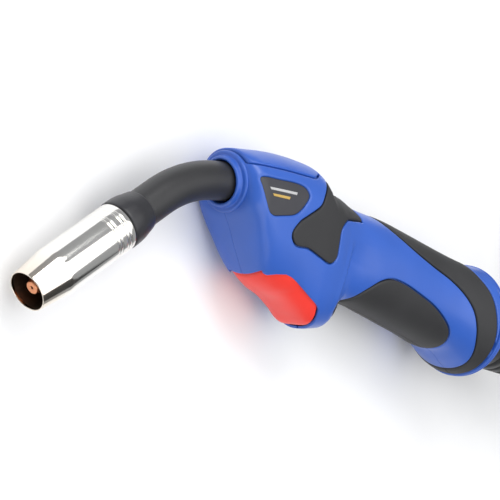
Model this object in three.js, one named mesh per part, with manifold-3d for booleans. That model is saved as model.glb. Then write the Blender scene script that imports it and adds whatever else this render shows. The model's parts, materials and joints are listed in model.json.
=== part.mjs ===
// A gas-cooled MIG welding torch with its power cable and central plug, in millimetres, +Z up.
//
// The torch lies on its right side. Inside the torch group x runs from the nozzle towards the
// cable, y is the torch's own up, and z points out of its left side. The zero of that group is
// the centre of the neck port in the front of the handle.
import * as THREE from "three";
import { mergeVertices } from "three/addons/utils/BufferGeometryUtils.js";
import Module from "manifold-3d";

const wasm = await Module();
wasm.setup();

// ---------------------------------------------------------------- driving dimensions
const GAP = 0.3; // between pieces that touch
const degrees = THREE.MathUtils.degToRad;

// Where the torch lies: its own zero in the frame of the part, and the lean onto head and flange.
const TORCH_PLACE = new THREE.Vector3(-60.5, 46.2, 20.5);
const TORCH_LEAN = degrees(2.56);

// Handle, as curves of x: crest and keel are its top and bottom lines, beam is the level where it
// is widest, half width is taken there, and the power squares off the section below the beam.
const HANDLE_END = 182;
const CREST = [[0, 15], [20, 13.5], [45, 8.4], [50, 6.2], [52.6, 3], [55.2, -3], [57.6, -4.4], [61, -5],
  [67, -6.6], [70, -7.9], [76, -11], [80, -12.6], [103, -19.2], [120, -25.4], [144, -34.4], [160, -40.2],
  [170, -43.2], [182, -45]];
const BEAM = [[0, -7], [20, -9], [45, -14], [60, -19], [76, -30], [95, -39], [120, -48.5],
  [145, -61], [158, -68], [170, -71.6], [182, -73]];
const KEEL = [[0, -14.2], [3, -20], [7, -30], [14, -44.2], [22, -50.8], [31, -56.6], [40, -63.4],
  [47, -68], [58, -68.4], [64, -65], [68.5, -60], [73, -57.4], [82, -58.8], [97, -64.2], [113, -70.6],
  [128, -76.6], [141, -82.2], [150, -85.4], [158, -91.8], [165, -97], [174, -100.4], [182, -100.8]];
const HALF_WIDTH = [[0, 20.6], [20, 20.8], [45, 20.5], [58, 19.3], [68, 17], [78, 16.2], [90, 16.8],
  [110, 18.2], [132, 19.6], [147, 21.4], [160, 24.6], [170, 26.6], [182, 27.6]];
const KEEL_POWER = [[0, 2.1], [14, 2.2], [46, 2.7], [62, 2.7], [76, 2.3], [182, 2.1]];
const CREST_POWER = 2.3;
const FRONT_ROUNDING = { side: 8, crest: 2.4, keel: 1 };
const SHELL_WALL = 3;
const STATIONS = [0, 0.8, 3, 8, 14, 22, 31, 40, 47, 53, 57, 60, 64, 68, 73, 82, 97, 113, 128, 141,
  150, 158, 165, 174, 182];
const SIDE_STEPS = 10; // facets from crest to keel

// Soft grips and badge, laid into the shells as outlines seen from the side.
const PAD_THICKNESS = 1.5;
const PAD_PROUD = 0.2;
const BADGE_THICKNESS = 1;
const FRONT_PAD = [[57, 8], [52, 1], [46, -6], [42, -11], [34.5, -14.6], [27, -18.2], [23, -23],
  [25.6, -28], [34, -30], [42, -34], [50, -37.4], [54.4, -35], [56, -29], [58, -22],
  [63.4, -18.2], [71, -18.3], [76, -18.6], [79.6, -19], [79.8, -17.4], [77.4, -13], [75, -6],
  [73, 2], [67, 8]];
const LOWER_PAD = [[62, -56.6], [70, -57], [78, -55.6], [84.6, -51.4], [91, -47.8], [98, -46.8],
  [107, -49.4], [118, -54.8], [129, -61], [137, -67.4], [142.4, -73], [145.6, -78.6], [146.6, -84.4],
  [144.4, -89.6], [138, -92.6], [125, -91], [113, -87], [98, -80], [80, -71], [64, -65]];
const REAR_PAD = [[88, -3], [92, -13.6], [97, -18.8], [102, -23.2], [109, -28.6], [118, -35], [129, -41.8],
  [141, -48.8], [149.6, -56], [155, -64], [157.6, -73], [159, -79], [161, -85.6], [162.4, -91],
  [163, -97], [164, -104], [167, -104], [168.4, -96], [168.8, -90], [169.6, -84], [170, -76],
  [169.6, -68], [168.2, -57], [165, -49], [160, -38], [149, -26], [120, -10], [98, -3]];
const BADGE = [[4.6, 2.9], [16, 1.5], [29, -0.9], [33.2, -3.2], [34.4, -6.2], [31.6, -10], [26.8, -13.6],
  [23.4, -14.7], [16, -14.9], [10.6, -14.7], [7.8, -13], [5.6, -8], [3.9, -0.6], [3.6, 1.8]];
// Lower edge of the top cover, which ends at its rear corner
const TOP_COVER_EDGE = [[1.2, 8.8], [20, 5.8], [42, 1.6], [47.5, 3.2]];
const TOP_COVER_REAR = [50, 24];
const TOP_COVER_THICKNESS = 2;

// Trigger, its pin and the bosses that hold the pin
const PIVOT = new THREE.Vector2(23, -37.2);
const PIVOT_PIN = { radius: 1.6, half: 12.8 };
const PIVOT_BOSS = { radius: 3.2, inner: 8.4 };
const TRIGGER_TRAVEL = degrees(4);
const TRIGGER_INSET = 1.7; // the trigger's sides below the shell's surface
const TRIGGER_WINDOW_WALL = 1.3; // what is left of the shell beside it
const TRIGGER_EDGE = [[13.5, -39.4], [16.2, -41], [19.5, -40.4], [24.3, -41], [29.4, -44],
  [34.3, -47.8], [40.4, -52.5], [44.6, -55.7], [48.4, -58.5], [49.6, -64]];

// Neck: a straight run through the port, one bend towards the nozzle, one inside the handle.
const PORT_TILT = degrees(4);
const PORT_STRAIGHT = 7.4;
const NECK_BEND_RADIUS = 66;
const NOZZLE_SLOPE = degrees(26.5);
const INNER_STRAIGHT = 8;
const INNER_BEND_RADIUS = 60;
const INNER_BEND = degrees(24.5);
const TUBE_RADIUS = 4.8;
const TUBE_BORE = 2.6;
const SLEEVE_RADIUS = 8.7;
const LINER_RADIUS = 2.2;
const LINER_BORE = 1.1;
const PORT_RADIUS = 9.6;
const PORT_RING = { radius: 13.6, lip: 11.3, reach: 3.6 };

// Distances along the nozzle's axis, from the end of the bend forwards.
const COLLAR = { start: 12.6, end: 26.7 };
const NOZZLE = { start: 27, shoulder: 67, end: 82.1, radius: 11, mouthRadius: 9.1, bore: 9.5,
  mouthBore: 8.4 };
const HOLDER = { start: 35.2, end: 53.7 };
const TIP_END = 79.5;

// Rear end: the lock ring on the handle's slanting end face, and the cable support that turns in
// it like a ball in a socket. The support's distances run along the line of the cable.
const FLANGE = new THREE.Vector2(172.4, -71.7);
const FLANGE_SLOPE = degrees(-8);
const LOCK_RING = { radius: 28.2, bore: 21.4, length: 3.6 };
const SUPPORT = { ballRadius: 20.2, ballAt: 160, coneStart: 169.4, coneRadius: 20, end: 223,
  endRadius: 10.5 };

// Power cable: where it runs from the support to the coil, and from the coil to the plug
const CABLE_RADIUS = 8;
const CABLE_SIDES = 10;
const INNER_CABLE_END = 214;
const CABLE_ROUTE = [[167.2, -48.1, 30.7], [175.1, -51.7, 31], [188.7, -57.9, 30.9], [202.4, -64.1, 28.6],
  [216, -70.3, 24.2], [229.7, -76.5, 18.5], [243.3, -82.8, 13.2], [252.4, -86.9, 10.7], [261.5, -91, 9.6]];
const LEAD_ROUTE = [[391.7, 6.8, 25.4], [378.7, 42.4, 29], [351.1, 68.2, 36.5], [316.5, 79.9, 43],
  [280.9, 77.4, 43.4], [249.4, 61, 43.4], [227.8, 32.9, 43.4], [220.1, -1.8, 43.4], [227.8, -36.5, 43.4],
  [249.4, -64.6, 43.4], [271.5, -82, 43.4], [298, -94.5, 43], [330, -99.5, 37], [365, -99.5, 30.5],
  [387.9, -95.5, 25.5], [408.1, -83.8, 22], [423, -66, 20.6], [431, -44.1, 21.3], [432, -30, 22.1],
  [432, -5, 22.1], [432, 24, 22.1]];
const COIL = { centre: [302.1, -1.8], inner: 58, outer: 106, step: 8, bottom: 1.6, shoulder: 14, top: 33.4 };
const TIE = { thickness: 1.3, width: 20, angles: [-20, 150] };

// Central plug, nose pointing forwards along its own x; its zero is where the cable goes in.
const PLUG_PLACE = new THREE.Vector3(432, -32, 22.1);
const PLUG = { supportEnd: 61.7, housingStart: 62, housingEnd: 110, bodyStart: 78, bodyEnd: 134.6,
  bodyRadius: 12, nutRadius: 22, nutStart: 110.4, nutEnd: 142, nippleRadius: 5, nippleEnd: 154 };
const PLUG_PIN = { radius: 2, offset: 8.2, spread: degrees(40), tail: 122, tip: 139.6 };
const PLUG_SCREWS = { places: [84, 100], radius: 0.9, half: 8, height: 17 };

// ---------------------------------------------------------------- materials
function material(color, roughness, metalness = 0) {
  return new THREE.MeshStandardMaterial({ color, roughness, metalness });
}
const BLUE = material(0x2f5cc0, 0.45);
const SOFT_BLACK = material(0x353537, 0.75);
const RED = material(0xf03c32, 0.4);
const GREY_PLATE = material(0x4a4a50, 0.5);
const SLEEVE_RUBBER = material(0x404042, 0.6);
const BLACK_PLASTIC = material(0x1d1d1f, 0.5);
const CABLE_RUBBER = material(0x232325, 0.7);
const CHROME = material(0xe8e8ea, 0.12, 1);
const COPPER = material(0xc8794a, 0.3, 1);
const BRASS = material(0xc9a44f, 0.35, 1);
const STEEL = material(0xb9bcc0, 0.35, 1);
const CERAMIC = material(0xe9e2d2, 0.6);
const NYLON = material(0x2a2a2c, 0.55);
const LEAD_RED = material(0xb02a24, 0.5);

// ---------------------------------------------------------------- solids and meshes
function solid(geometry) {
  const bare = geometry.clone();
  bare.deleteAttribute("normal");
  bare.deleteAttribute("uv");
  const merged = mergeVertices(bare, 1e-4);
  return new wasm.Manifold(new wasm.Mesh({
    numProp: 3,
    vertProperties: new Float32Array(merged.attributes.position.array),
    triVerts: new Uint32Array(merged.index.array),
  }));
}

function geometryOf(body) {
  const { vertProperties, triVerts } = body.getMesh();
  const geometry = new THREE.BufferGeometry();
  geometry.setAttribute("position", new THREE.BufferAttribute(vertProperties, 3));
  geometry.setIndex(new THREE.BufferAttribute(triVerts, 1));
  return geometry;
}

function node(name, shape, look) {
  const geometry = shape.isBufferGeometry ? shape : geometryOf(shape);
  const mesh = new THREE.Mesh(geometry, look);
  mesh.name = name;
  return mesh;
}

function mirrored(body) {
  return body.mirror([0, 0, 1]);
}

// A turned piece: profile points are [radius, distance along x].
function turned(profile, segments = 24) {
  const points = profile.map(([radius, along]) => new THREE.Vector2(radius, along));
  return new THREE.LatheGeometry(points, segments).rotateZ(-Math.PI / 2);
}

// A turned tube with a bore: the profile closes on itself.
function turnedTube(profile, bore, segments = 24) {
  const first = profile[0][1];
  const last = profile[profile.length - 1][1];
  return turned([[bore, first], ...profile, [bore, last], [bore, first]], segments);
}

function circleShape(radius, sides, hole = 0) {
  const ring = (r) => Array.from({ length: sides }, (_, i) => {
    const angle = (i / sides) * Math.PI * 2;
    return new THREE.Vector2(r * Math.cos(angle), r * Math.sin(angle));
  });
  const shape = new THREE.Shape(ring(radius));
  if (hole) shape.holes.push(new THREE.Path(ring(hole)));
  return shape;
}

function swept(path, radius, steps, sides = 12, hole = 0) {
  return new THREE.ExtrudeGeometry(circleShape(radius, sides, hole), {
    extrudePath: path, steps, bevelEnabled: false,
  });
}

function curveThrough(points) {
  return new THREE.CatmullRomCurve3(points, false, "centripetal");
}

// A rod along z at a place in the side view.
function crossRod(x, y, radius, z0, z1, segments = 16) {
  const rod = new THREE.CylinderGeometry(radius, radius, z1 - z0, segments).rotateX(Math.PI / 2);
  return rod.translate(x, y, (z0 + z1) / 2);
}

function block(x0, x1, y0, y1, z0, z1) {
  return new THREE.BoxGeometry(x1 - x0, y1 - y0, z1 - z0)
    .translate((x0 + x1) / 2, (y0 + y1) / 2, (z0 + z1) / 2);
}

// ---------------------------------------------------------------- handle surface
// A curve through [x, value] pairs that keeps flat where neighbours turn round.
function along(pairs, x) {
  const last = pairs.length - 1;
  if (x <= pairs[0][0]) return pairs[0][1];
  if (x >= pairs[last][0]) return pairs[last][1];
  const i = pairs.findIndex(([px], k) => k < last && x < pairs[k + 1][0]);
  const rise = (k) => (pairs[k + 1][1] - pairs[k][1]) / (pairs[k + 1][0] - pairs[k][0]);
  const slope = (k) => {
    if (k === 0) return rise(0);
    if (k === last) return rise(last - 1);
    const before = rise(k - 1);
    const after = rise(k);
    return before * after <= 0 ? 0 : (2 * before * after) / (before + after);
  };
  const width = pairs[i + 1][0] - pairs[i][0];
  const t = (x - pairs[i][0]) / width;
  const [a, b] = [pairs[i][1], pairs[i + 1][1]];
  const s = t * t * (3 - 2 * t);
  return a + (b - a) * s + width * t * (1 - t) * (slope(i) * (1 - t) - slope(i + 1) * t);
}

function frontInset(x, radius) {
  if (x >= radius) return 0;
  return radius - Math.sqrt(radius * radius - (radius - x) ** 2);
}

// The handle's section at x, drawn in by an inset: a closed ring of points from the crest round
// the left side to the keel and back up the right side.
function section(x, inset, keelInset = inset) {
  const beam = along(BEAM, x);
  const width = along(HALF_WIDTH, x) - frontInset(x, FRONT_ROUNDING.side) - inset;
  const crest = along(CREST, x) - frontInset(x, FRONT_ROUNDING.crest) - inset - beam;
  const keel = beam - along(KEEL, x) - frontInset(x, FRONT_ROUNDING.keel) - keelInset;
  const ring = [];
  for (let i = 0; i < 2 * SIDE_STEPS; i++) {
    const angle = (i / SIDE_STEPS) * Math.PI;
    const [c, s] = [Math.cos(angle), Math.sin(angle)];
    const power = 2 / (c >= 0 ? CREST_POWER : along(KEEL_POWER, x));
    const height = c >= 0 ? crest : keel;
    ring.push(new THREE.Vector3(x, beam + height * Math.sign(c) * Math.abs(c) ** power,
      width * Math.sign(s) * Math.abs(s) ** power));
  }
  return ring;
}

// Sections joined into a closed solid with flat ends. The rear may be drawn in too.
function loft(inset, front = 0, rear = HANDLE_END, keelInset = inset) {
  const inner = STATIONS.filter((x) => x > front + 0.4 && x < rear - 0.4);
  const xs = [front, ...inner, rear];
  const rings = xs.map((x) => section(x, inset, keelInset));
  const count = 2 * SIDE_STEPS;
  const positions = rings.flat().flatMap((p) => [p.x, p.y, p.z]);
  const index = [];
  for (let k = 0; k < xs.length - 1; k++) {
    for (let i = 0; i < count; i++) {
      const [a, b] = [k * count + i, k * count + ((i + 1) % count)];
      index.push(a, b, a + count, b, b + count, a + count);
    }
  }
  for (let i = 1; i < count - 1; i++) {
    index.push(0, i + 1, i);
    const end = (xs.length - 1) * count;
    index.push(end, end + i, end + i + 1);
  }
  const geometry = new THREE.BufferGeometry();
  geometry.setAttribute("position", new THREE.Float32BufferAttribute(positions, 3));
  geometry.setIndex(index);
  return solid(geometry);
}

// ---------------------------------------------------------------- outlines in the side view
function smoothOutline(points, pieces, closed = true) {
  const curve = new THREE.CatmullRomCurve3(points.map(([x, y]) => new THREE.Vector3(x, y, 0)), closed);
  const drawn = curve.getPoints(pieces).map((p) => new THREE.Vector2(p.x, p.y));
  if (!closed) return drawn;
  drawn.pop();
  return counterClockwise(drawn);
}

function counterClockwise(points) {
  return THREE.ShapeUtils.isClockWise(points) ? [...points].reverse() : points;
}

// Moves each point of a counter-clockwise outline outwards.
function grown(points, distance) {
  return points.map((p, i) => {
    const before = points[(i + points.length - 1) % points.length];
    const after = points[(i + 1) % points.length];
    const tangent = after.clone().sub(before).normalize();
    return new THREE.Vector2(p.x + tangent.y * distance, p.y - tangent.x * distance);
  });
}

function prism(points, z0, z1) {
  const shape = new THREE.Shape(points);
  const geometry = new THREE.ExtrudeGeometry(shape, { depth: z1 - z0, bevelEnabled: false });
  return solid(geometry.translate(0, 0, z0));
}

// ---------------------------------------------------------------- handle pieces
const outerForm = loft(0);
const padForm = loft(-PAD_PROUD);
const padFloor = loft(PAD_THICKNESS - PAD_PROUD, 0.9, HANDLE_END + 0.5);
const recessFloor = loft(PAD_THICKNESS - PAD_PROUD + GAP, 0.7, HANDLE_END + 0.8);
const cavity = loft(SHELL_WALL, SHELL_WALL, HANDLE_END + 1);
const triggerForm = loft(TRIGGER_INSET, 1);
const triggerBladeForm = loft(TRIGGER_INSET, 1, HANDLE_END, 0);
const windowForm = loft(TRIGGER_WINDOW_WALL, 1);

const WIDE = 60; // wider than the handle, for cuts right across
const leftHalf = solid(block(-40, 260, -160, 60, GAP / 2, WIDE));

const PADS = { front: FRONT_PAD, lower: LOWER_PAD, rear: REAR_PAD };
const padOutlines = Object.fromEntries(
  Object.entries(PADS).map(([name, points]) => [name, smoothOutline(points, 32)]));
const badgeOutline = smoothOutline(BADGE, 18);

function padBody(outline) {
  return padForm.subtract(padFloor).intersect(prism(outline, GAP / 2, WIDE));
}

function badgeBody() {
  return outerForm.subtract(loft(BADGE_THICKNESS, 0.5)).intersect(prism(badgeOutline, GAP, WIDE));
}

function recess(outline, floor) {
  return loft(-1, 0, HANDLE_END).subtract(floor).intersect(prism(grown(outline, GAP), -WIDE, WIDE));
}

// Top cover: everything of the skin above its edge line.
function coverOutline(grow) {
  const edge = TOP_COVER_EDGE.map(([x, y]) => new THREE.Vector2(x, y - grow));
  return [new THREE.Vector2(edge[0].x - grow, 24), new THREE.Vector2(edge[0].x - grow, edge[0].y),
    ...edge.slice(1, 3), new THREE.Vector2(edge[3].x + grow, edge[3].y),
    new THREE.Vector2(TOP_COVER_REAR[0] + grow, TOP_COVER_REAR[1])];
}

function coverBody() {
  return outerForm.subtract(loft(TOP_COVER_THICKNESS, 0.5)).intersect(prism(coverOutline(0), -WIDE, WIDE));
}

function coverRecess() {
  const layer = loft(-1).subtract(loft(TOP_COVER_THICKNESS + GAP, 0.2));
  return layer.intersect(prism(coverOutline(GAP), -WIDE, WIDE));
}

// Trigger outline: the visible edge, raised inside the shell, and the keel side left open wide.
function triggerOutline() {
  const corners = [[8, -44.6], [13, -44.2], [15.6, -41.6], [19.4, -38.8], [20.2, -33.8], [26.4, -33.4],
    [29.4, -38], [37.4, -38], [40.4, -43.6], [43.4, -50], [46.6, -56], [47.4, -61], [47.2, -70],
    [30, -74], [8, -60]];
  return counterClockwise(corners.map(([x, y]) => new THREE.Vector2(x, y)));
}

function turnedAboutPivot(points, angle) {
  return points.map((p) => p.clone().rotateAround(PIVOT, angle));
}

// The blade fills the window down to the keel; behind the window's edge it is drawn in all round.
function triggerBody() {
  const outline = prism(triggerOutline(), -WIDE, WIDE);
  const blade = triggerBladeForm.intersect(outline).intersect(triggerWindow(0.6));
  const pinHole = solid(crossRod(PIVOT.x, PIVOT.y, PIVOT_PIN.radius + GAP, -WIDE, WIDE));
  const springSlot = solid(block(PIVOT.x - 6, PIVOT.x + 4.4, PIVOT.y - 5.4, -30, -4.4, 4.4));
  const bossRoom = solid(crossRod(PIVOT.x, PIVOT.y, PIVOT_BOSS.radius + GAP, PIVOT_BOSS.inner - 0.4, WIDE));
  return triggerForm.intersect(outline).add(blade)
    .subtract(pinHole).subtract(springSlot).subtract(bossRoom).subtract(mirrored(bossRoom));
}

// What the moving trigger needs inside the shells.
function triggerRoom() {
  const steps = 2;
  const room = Array.from({ length: steps + 1 }, (_, i) => {
    const outline = grown(turnedAboutPivot(triggerOutline(), (TRIGGER_TRAVEL * i) / steps), 0.6);
    return prism(outline, -WIDE, WIDE);
  });
  return windowForm.intersect(room.reduce((a, b) => a.add(b)));
}

// The window the blade shows through, drawn in by a margin.
function triggerWindow(margin = 0) {
  const edge = smoothOutline(TRIGGER_EDGE, 16, false).map((p) => new THREE.Vector2(p.x, p.y - margin));
  const last = edge[edge.length - 1];
  return prism([new THREE.Vector2(0, -43.8 - margin), new THREE.Vector2(13, -43.2 - margin), ...edge,
    new THREE.Vector2(last.x, -80), new THREE.Vector2(0, -80)], -WIDE, WIDE);
}

// Bosses for the ends of the trigger's pin, and ribs that hold the switch.
function pivotBoss() {
  return solid(crossRod(PIVOT.x, PIVOT.y, PIVOT_BOSS.radius, PIVOT_BOSS.inner, WIDE))
    .intersect(outerForm).subtract(triggerWindow());
}

function switchRibs() {
  const rib = (x) => solid(block(x - 1, x + 1, SWITCH.y0, SWITCH.y1 + 1, SWITCH.half + GAP, WIDE));
  return rib(SWITCH.x0 + 3).add(rib(SWITCH.x1 - 3)).intersect(loft(SHELL_WALL - 0.8));
}

// Shell screws come in from the right side, into bosses of the left shell.
const SCREW_PLACES = [[14, -22], [55, -60], [80, -41.5], [151, -76.5]];
const SCREW = { head: 3.3, shank: 1.7, boss: 4.1, seat: 6, reach: 7 };

function shellBosses(side) {
  const [z0, z1] = side > 0 ? [GAP / 2, WIDE] : [-WIDE, -GAP / 2];
  return SCREW_PLACES.map(([x, y]) => solid(crossRod(x, y, SCREW.boss, z0, z1)).intersect(outerForm));
}

function screwHead(x, y) {
  return sideDepth(x, y) - 3;
}

// The half width of the handle at a place in the side view.
function sideDepth(x, y) {
  const beam = along(BEAM, x);
  const above = y > beam;
  const height = above ? along(CREST, x) - beam : beam - along(KEEL, x);
  const power = above ? CREST_POWER : along(KEEL_POWER, x);
  const share = Math.min(1, Math.abs(y - beam) / height);
  return along(HALF_WIDTH, x) * (1 - share ** power) ** (1 / power);
}

function shell(side) {
  const sided = (body) => (side > 0 ? body : mirrored(body));
  let body = outerForm.subtract(cavity).intersect(sided(leftHalf));
  for (const boss of shellBosses(side)) body = body.add(boss);
  for (const outline of Object.values(padOutlines)) body = body.subtract(recess(outline, recessFloor));
  body = body.subtract(recess(badgeOutline, loft(BADGE_THICKNESS + GAP, 0.3)));
  body = body.subtract(coverRecess()).subtract(triggerWindow()).subtract(triggerRoom());
  body = body.add(sided(pivotBoss())).add(sided(switchRibs()));
  body = body.subtract(solid(crossRod(PIVOT.x, PIVOT.y, PIVOT_PIN.radius + GAP / 2, -PIVOT_PIN.half - GAP,
    PIVOT_PIN.half + GAP)));
  body = body.subtract(solid(turned([[0, -5], [PORT_RADIUS + 2, -5], [PORT_RADIUS + 2, 9], [0, 9]], 24)));
  for (const [x, y] of SCREW_PLACES) {
    body = body.subtract(solid(crossRod(x, y, SCREW.shank + GAP, -WIDE, SCREW.reach + 1)));
    body = body.subtract(solid(crossRod(x, y, SCREW.head + GAP, -WIDE, GAP - screwHead(x, y) + 2)));
  }
  return largestOf(body.subtract(rearCut()));
}

// Everything behind the handle's slanting end face.
function rearCut() {
  return solid(block(0, 60, -80, 80, -WIDE, WIDE).rotateZ(FLANGE_SLOPE).translate(FLANGE.x, FLANGE.y, 0));
}

// Cuts leave slivers now and then, and a shell is one piece.
function largestOf(body) {
  return body.decompose().sort((a, b) => b.volume() - a.volume())[0];
}

function handlePieces() {
  const pieces = [
    node("handle_shell_left", shell(1), BLUE),
    node("handle_shell_right", shell(-1), BLUE),
    node("top_cover", largestOf(coverBody()), BLUE),
  ];
  for (const [name, outline] of Object.entries(padOutlines)) {
    const body = largestOf(padBody(outline));
    pieces.push(node(`${name}_grip_pad_left`, body, SOFT_BLACK));
    pieces.push(node(`${name}_grip_pad_right`, mirrored(body), SOFT_BLACK));
  }
  const badge = largestOf(badgeBody());
  pieces.push(node("badge_plate_left", badge, GREY_PLATE));
  pieces.push(node("badge_plate_right", mirrored(badge), GREY_PLATE));
  SCREW_PLACES.forEach(([x, y], i) => {
    const top = screwHead(x, y);
    const profile = [[0, -SCREW.reach], [SCREW.shank, 0.6 - SCREW.reach], [SCREW.shank, top - 2.1],
      [SCREW.head, top - 2.1], [SCREW.head, top], [1.2, top], [1.2, top - 1.2], [0, top - 1.2]];
    const screw = turned(profile, 12).rotateY(Math.PI / 2).translate(x, y, 0);
    pieces.push(node(`shell_screw_${i + 1}`, screw, STEEL));
  });
  return pieces;
}

// ---------------------------------------------------------------- trigger pieces
const SWITCH = { x0: 28, x1: 48, y0: -35.2, y1: -25, half: 3.2, plungerX: 35.6, plungerTop: -31 };

function triggerSpring() {
  const turns = 3;
  const legX = PIVOT.x - 3.5;
  const points = [new THREE.Vector3(legX, PIVOT.y + 6, -2.6)];
  for (let i = 0; i <= turns * 8; i++) {
    const angle = Math.PI - (i / 8) * Math.PI * 2;
    points.push(new THREE.Vector3(PIVOT.x + 3.5 * Math.cos(angle), PIVOT.y + 3.5 * Math.sin(angle),
      -2.6 + (5.2 * i) / (turns * 8)));
  }
  points.push(new THREE.Vector3(legX, PIVOT.y - 4.6, 2.6));
  return swept(curveThrough(points), 0.45, 30, 5);
}

function triggerPieces() {
  const plunger = block(SWITCH.plungerX - 1.2, SWITCH.plungerX + 1.2, -37.7, SWITCH.plungerTop, -1.2, 1.2);
  const body = solid(block(SWITCH.x0, SWITCH.x1, SWITCH.y0, SWITCH.y1, -SWITCH.half, SWITCH.half))
    .subtract(solid(block(SWITCH.plungerX - 1.5, SWITCH.plungerX + 1.5, SWITCH.y0 - 1, SWITCH.plungerTop + 2,
      -1.5, 1.5)));
  const lead = (z) => curveThrough([[48.4, -30.4], [53, -30.6], [58, -31], [62, -32], [65.6, -34]]
    .map(([x, y]) => new THREE.Vector3(x, y, z)));
  return [
    node("trigger", largestOf(triggerBody()), RED),
    node("trigger_spring", triggerSpring(), STEEL),
    node("trigger_pin", crossRod(PIVOT.x, PIVOT.y, PIVOT_PIN.radius, -PIVOT_PIN.half, PIVOT_PIN.half), STEEL),
    node("switch_body", body, NYLON),
    node("switch_plunger", plunger, LEAD_RED),
    node("switch_lead_1", swept(lead(1.8), 0.9, 10, 6), LEAD_RED),
    node("switch_lead_2", swept(lead(-1.8), 0.9, 10, 6), BLACK_PLASTIC),
  ];
}

// ---------------------------------------------------------------- neck
// A point of the outer bend, where the axis has the given downward slope.
function neckBendPoint(slope) {
  const startX = -PORT_STRAIGHT * Math.cos(PORT_TILT);
  const startY = PORT_STRAIGHT * Math.sin(PORT_TILT);
  return new THREE.Vector2(startX - NECK_BEND_RADIUS * (Math.sin(slope) + Math.sin(PORT_TILT)),
    startY + NECK_BEND_RADIUS * (Math.cos(slope) - Math.cos(PORT_TILT)));
}

// Points of the neck's axis: inside end, inner bend, port, outer bend, then straight to `reach`.
function neckPath(from, reach) {
  const curve = new THREE.CurvePath();
  const innerEnd = new THREE.Vector3(INNER_STRAIGHT + INNER_BEND_RADIUS * Math.sin(INNER_BEND),
    -INNER_BEND_RADIUS * (1 - Math.cos(INNER_BEND)), 0);
  const points = [];
  if (from > INNER_STRAIGHT) {
    for (let i = 6; i >= 0; i--) {
      const a = (INNER_BEND * i) / 6;
      points.push(new THREE.Vector3(INNER_STRAIGHT + INNER_BEND_RADIUS * Math.sin(a),
        -INNER_BEND_RADIUS * (1 - Math.cos(a)), 0));
    }
    points[0].copy(innerEnd);
  } else {
    points.push(new THREE.Vector3(from, 0, 0));
  }
  for (let i = 0; i <= 8; i++) {
    const p = neckBendPoint(THREE.MathUtils.lerp(-PORT_TILT, NOZZLE_SLOPE, i / 8));
    points.push(new THREE.Vector3(p.x, p.y, 0));
  }
  const end = points[points.length - 1];
  points.push(end.clone().add(new THREE.Vector3(-Math.cos(NOZZLE_SLOPE), -Math.sin(NOZZLE_SLOPE), 0)
    .multiplyScalar(reach)));
  for (let i = 0; i < points.length - 1; i++) curve.add(new THREE.LineCurve3(points[i], points[i + 1]));
  return curve;
}

function neckPieces() {
  return [
    node("swan_neck_tube", swept(neckPath(30, 34.8), TUBE_RADIUS, 16, 10, TUBE_BORE), COPPER),
    node("neck_sleeve",
      swept(neckPath(6.5, COLLAR.start - GAP), SLEEVE_RADIUS, 11, 14, TUBE_RADIUS + 2 * GAP), SLEEVE_RUBBER),
    node("neck_liner", swept(neckPath(30, 47), LINER_RADIUS, 16, 8, LINER_BORE), STEEL),
    node("port_ring", portRing(), BLUE),
  ];
}

function portRing() {
  const { radius, lip, reach } = PORT_RING;
  const seat = PORT_RADIUS + 1.7;
  return turnedTube([[lip - 0.5, -reach], [lip, 0.5 - reach], [lip + 0.2, -1.2], [radius - 0.6, -1.2],
    [radius, -0.6], [radius, -0.3], [seat, -0.3], [seat, 5]], PORT_RADIUS, 24);
}

function noseGroup() {
  const group = new THREE.Group();
  const start = neckBendPoint(NOZZLE_SLOPE);
  group.position.set(start.x, start.y, 0);
  group.rotation.z = Math.PI + NOZZLE_SLOPE;
  return group;
}

function gasNozzle() {
  const n = NOZZLE;
  const groove = (at) => [[n.radius, at], [n.radius - 0.35, at + 0.3], [n.radius - 0.35, at + 0.9],
    [n.radius, at + 1.2]];
  return turned([[n.bore, n.start], [n.radius - 0.4, n.start], [n.radius, n.start + 0.6], ...groove(n.start + 3),
    ...groove(n.start + 7.6), [n.radius, n.shoulder], [n.mouthRadius, n.end - 0.8], [n.mouthRadius - 0.3, n.end],
    [n.mouthBore, n.end], [n.mouthBore, n.end - 7], [n.bore, n.end - 20], [n.bore, n.start]], 20);
}

function gasDiffuser() {
  let body = solid(turnedTube([[8.2, 36.7], [8.6, 37.3], [8.6, 45.7], [7.4, 47.7]], 5.3, 16));
  const holes = 6;
  for (let i = 0; i < holes; i++) {
    const hole = new THREE.CylinderGeometry(0.9, 0.9, 12, 8).translate(0, 8.6, 0)
      .rotateX((i / holes) * Math.PI * 2).translate(41.7, 0, 0);
    body = body.subtract(solid(hole));
  }
  return body;
}

function nozzleSpring() {
  const turns = 3;
  const points = [];
  for (let i = 0; i <= turns * 12; i++) {
    const angle = (i / 12) * Math.PI * 2;
    points.push(new THREE.Vector3(28.3 + i * 0.15, 8.5 * Math.cos(angle), 8.5 * Math.sin(angle)));
  }
  return swept(curveThrough(points), 0.5, 36, 5);
}

function contactTip() {
  return turnedTube([[3, 48.3], [3, 54], [4, 54], [4, 74.4], [2.9, 79.1], [2.6, TIP_END]], 0.65, 12);
}

function tipHolder() {
  return turned([[2.6, HOLDER.start], [5, HOLDER.start], [5, HOLDER.end], [3.3, HOLDER.end],
    [3.3, 48], [2.6, 47.3], [2.6, HOLDER.start]], 12);
}

function neckCollar() {
  return turnedTube([[9.1, COLLAR.start], [9.8, 13.4], [10.3, 16], [11.1, 20.6], [11.2, 24.6],
    [10.9, COLLAR.end], [7.7, COLLAR.end], [7.7, 34.9]], TUBE_RADIUS + 2 * GAP, 20);
}

// ---------------------------------------------------------------- inner cable and rear end
// The line that nut, connector, cable and support follow, from the end of the neck's inner bend.
const CONNECTOR_LENGTH = 36;

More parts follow.
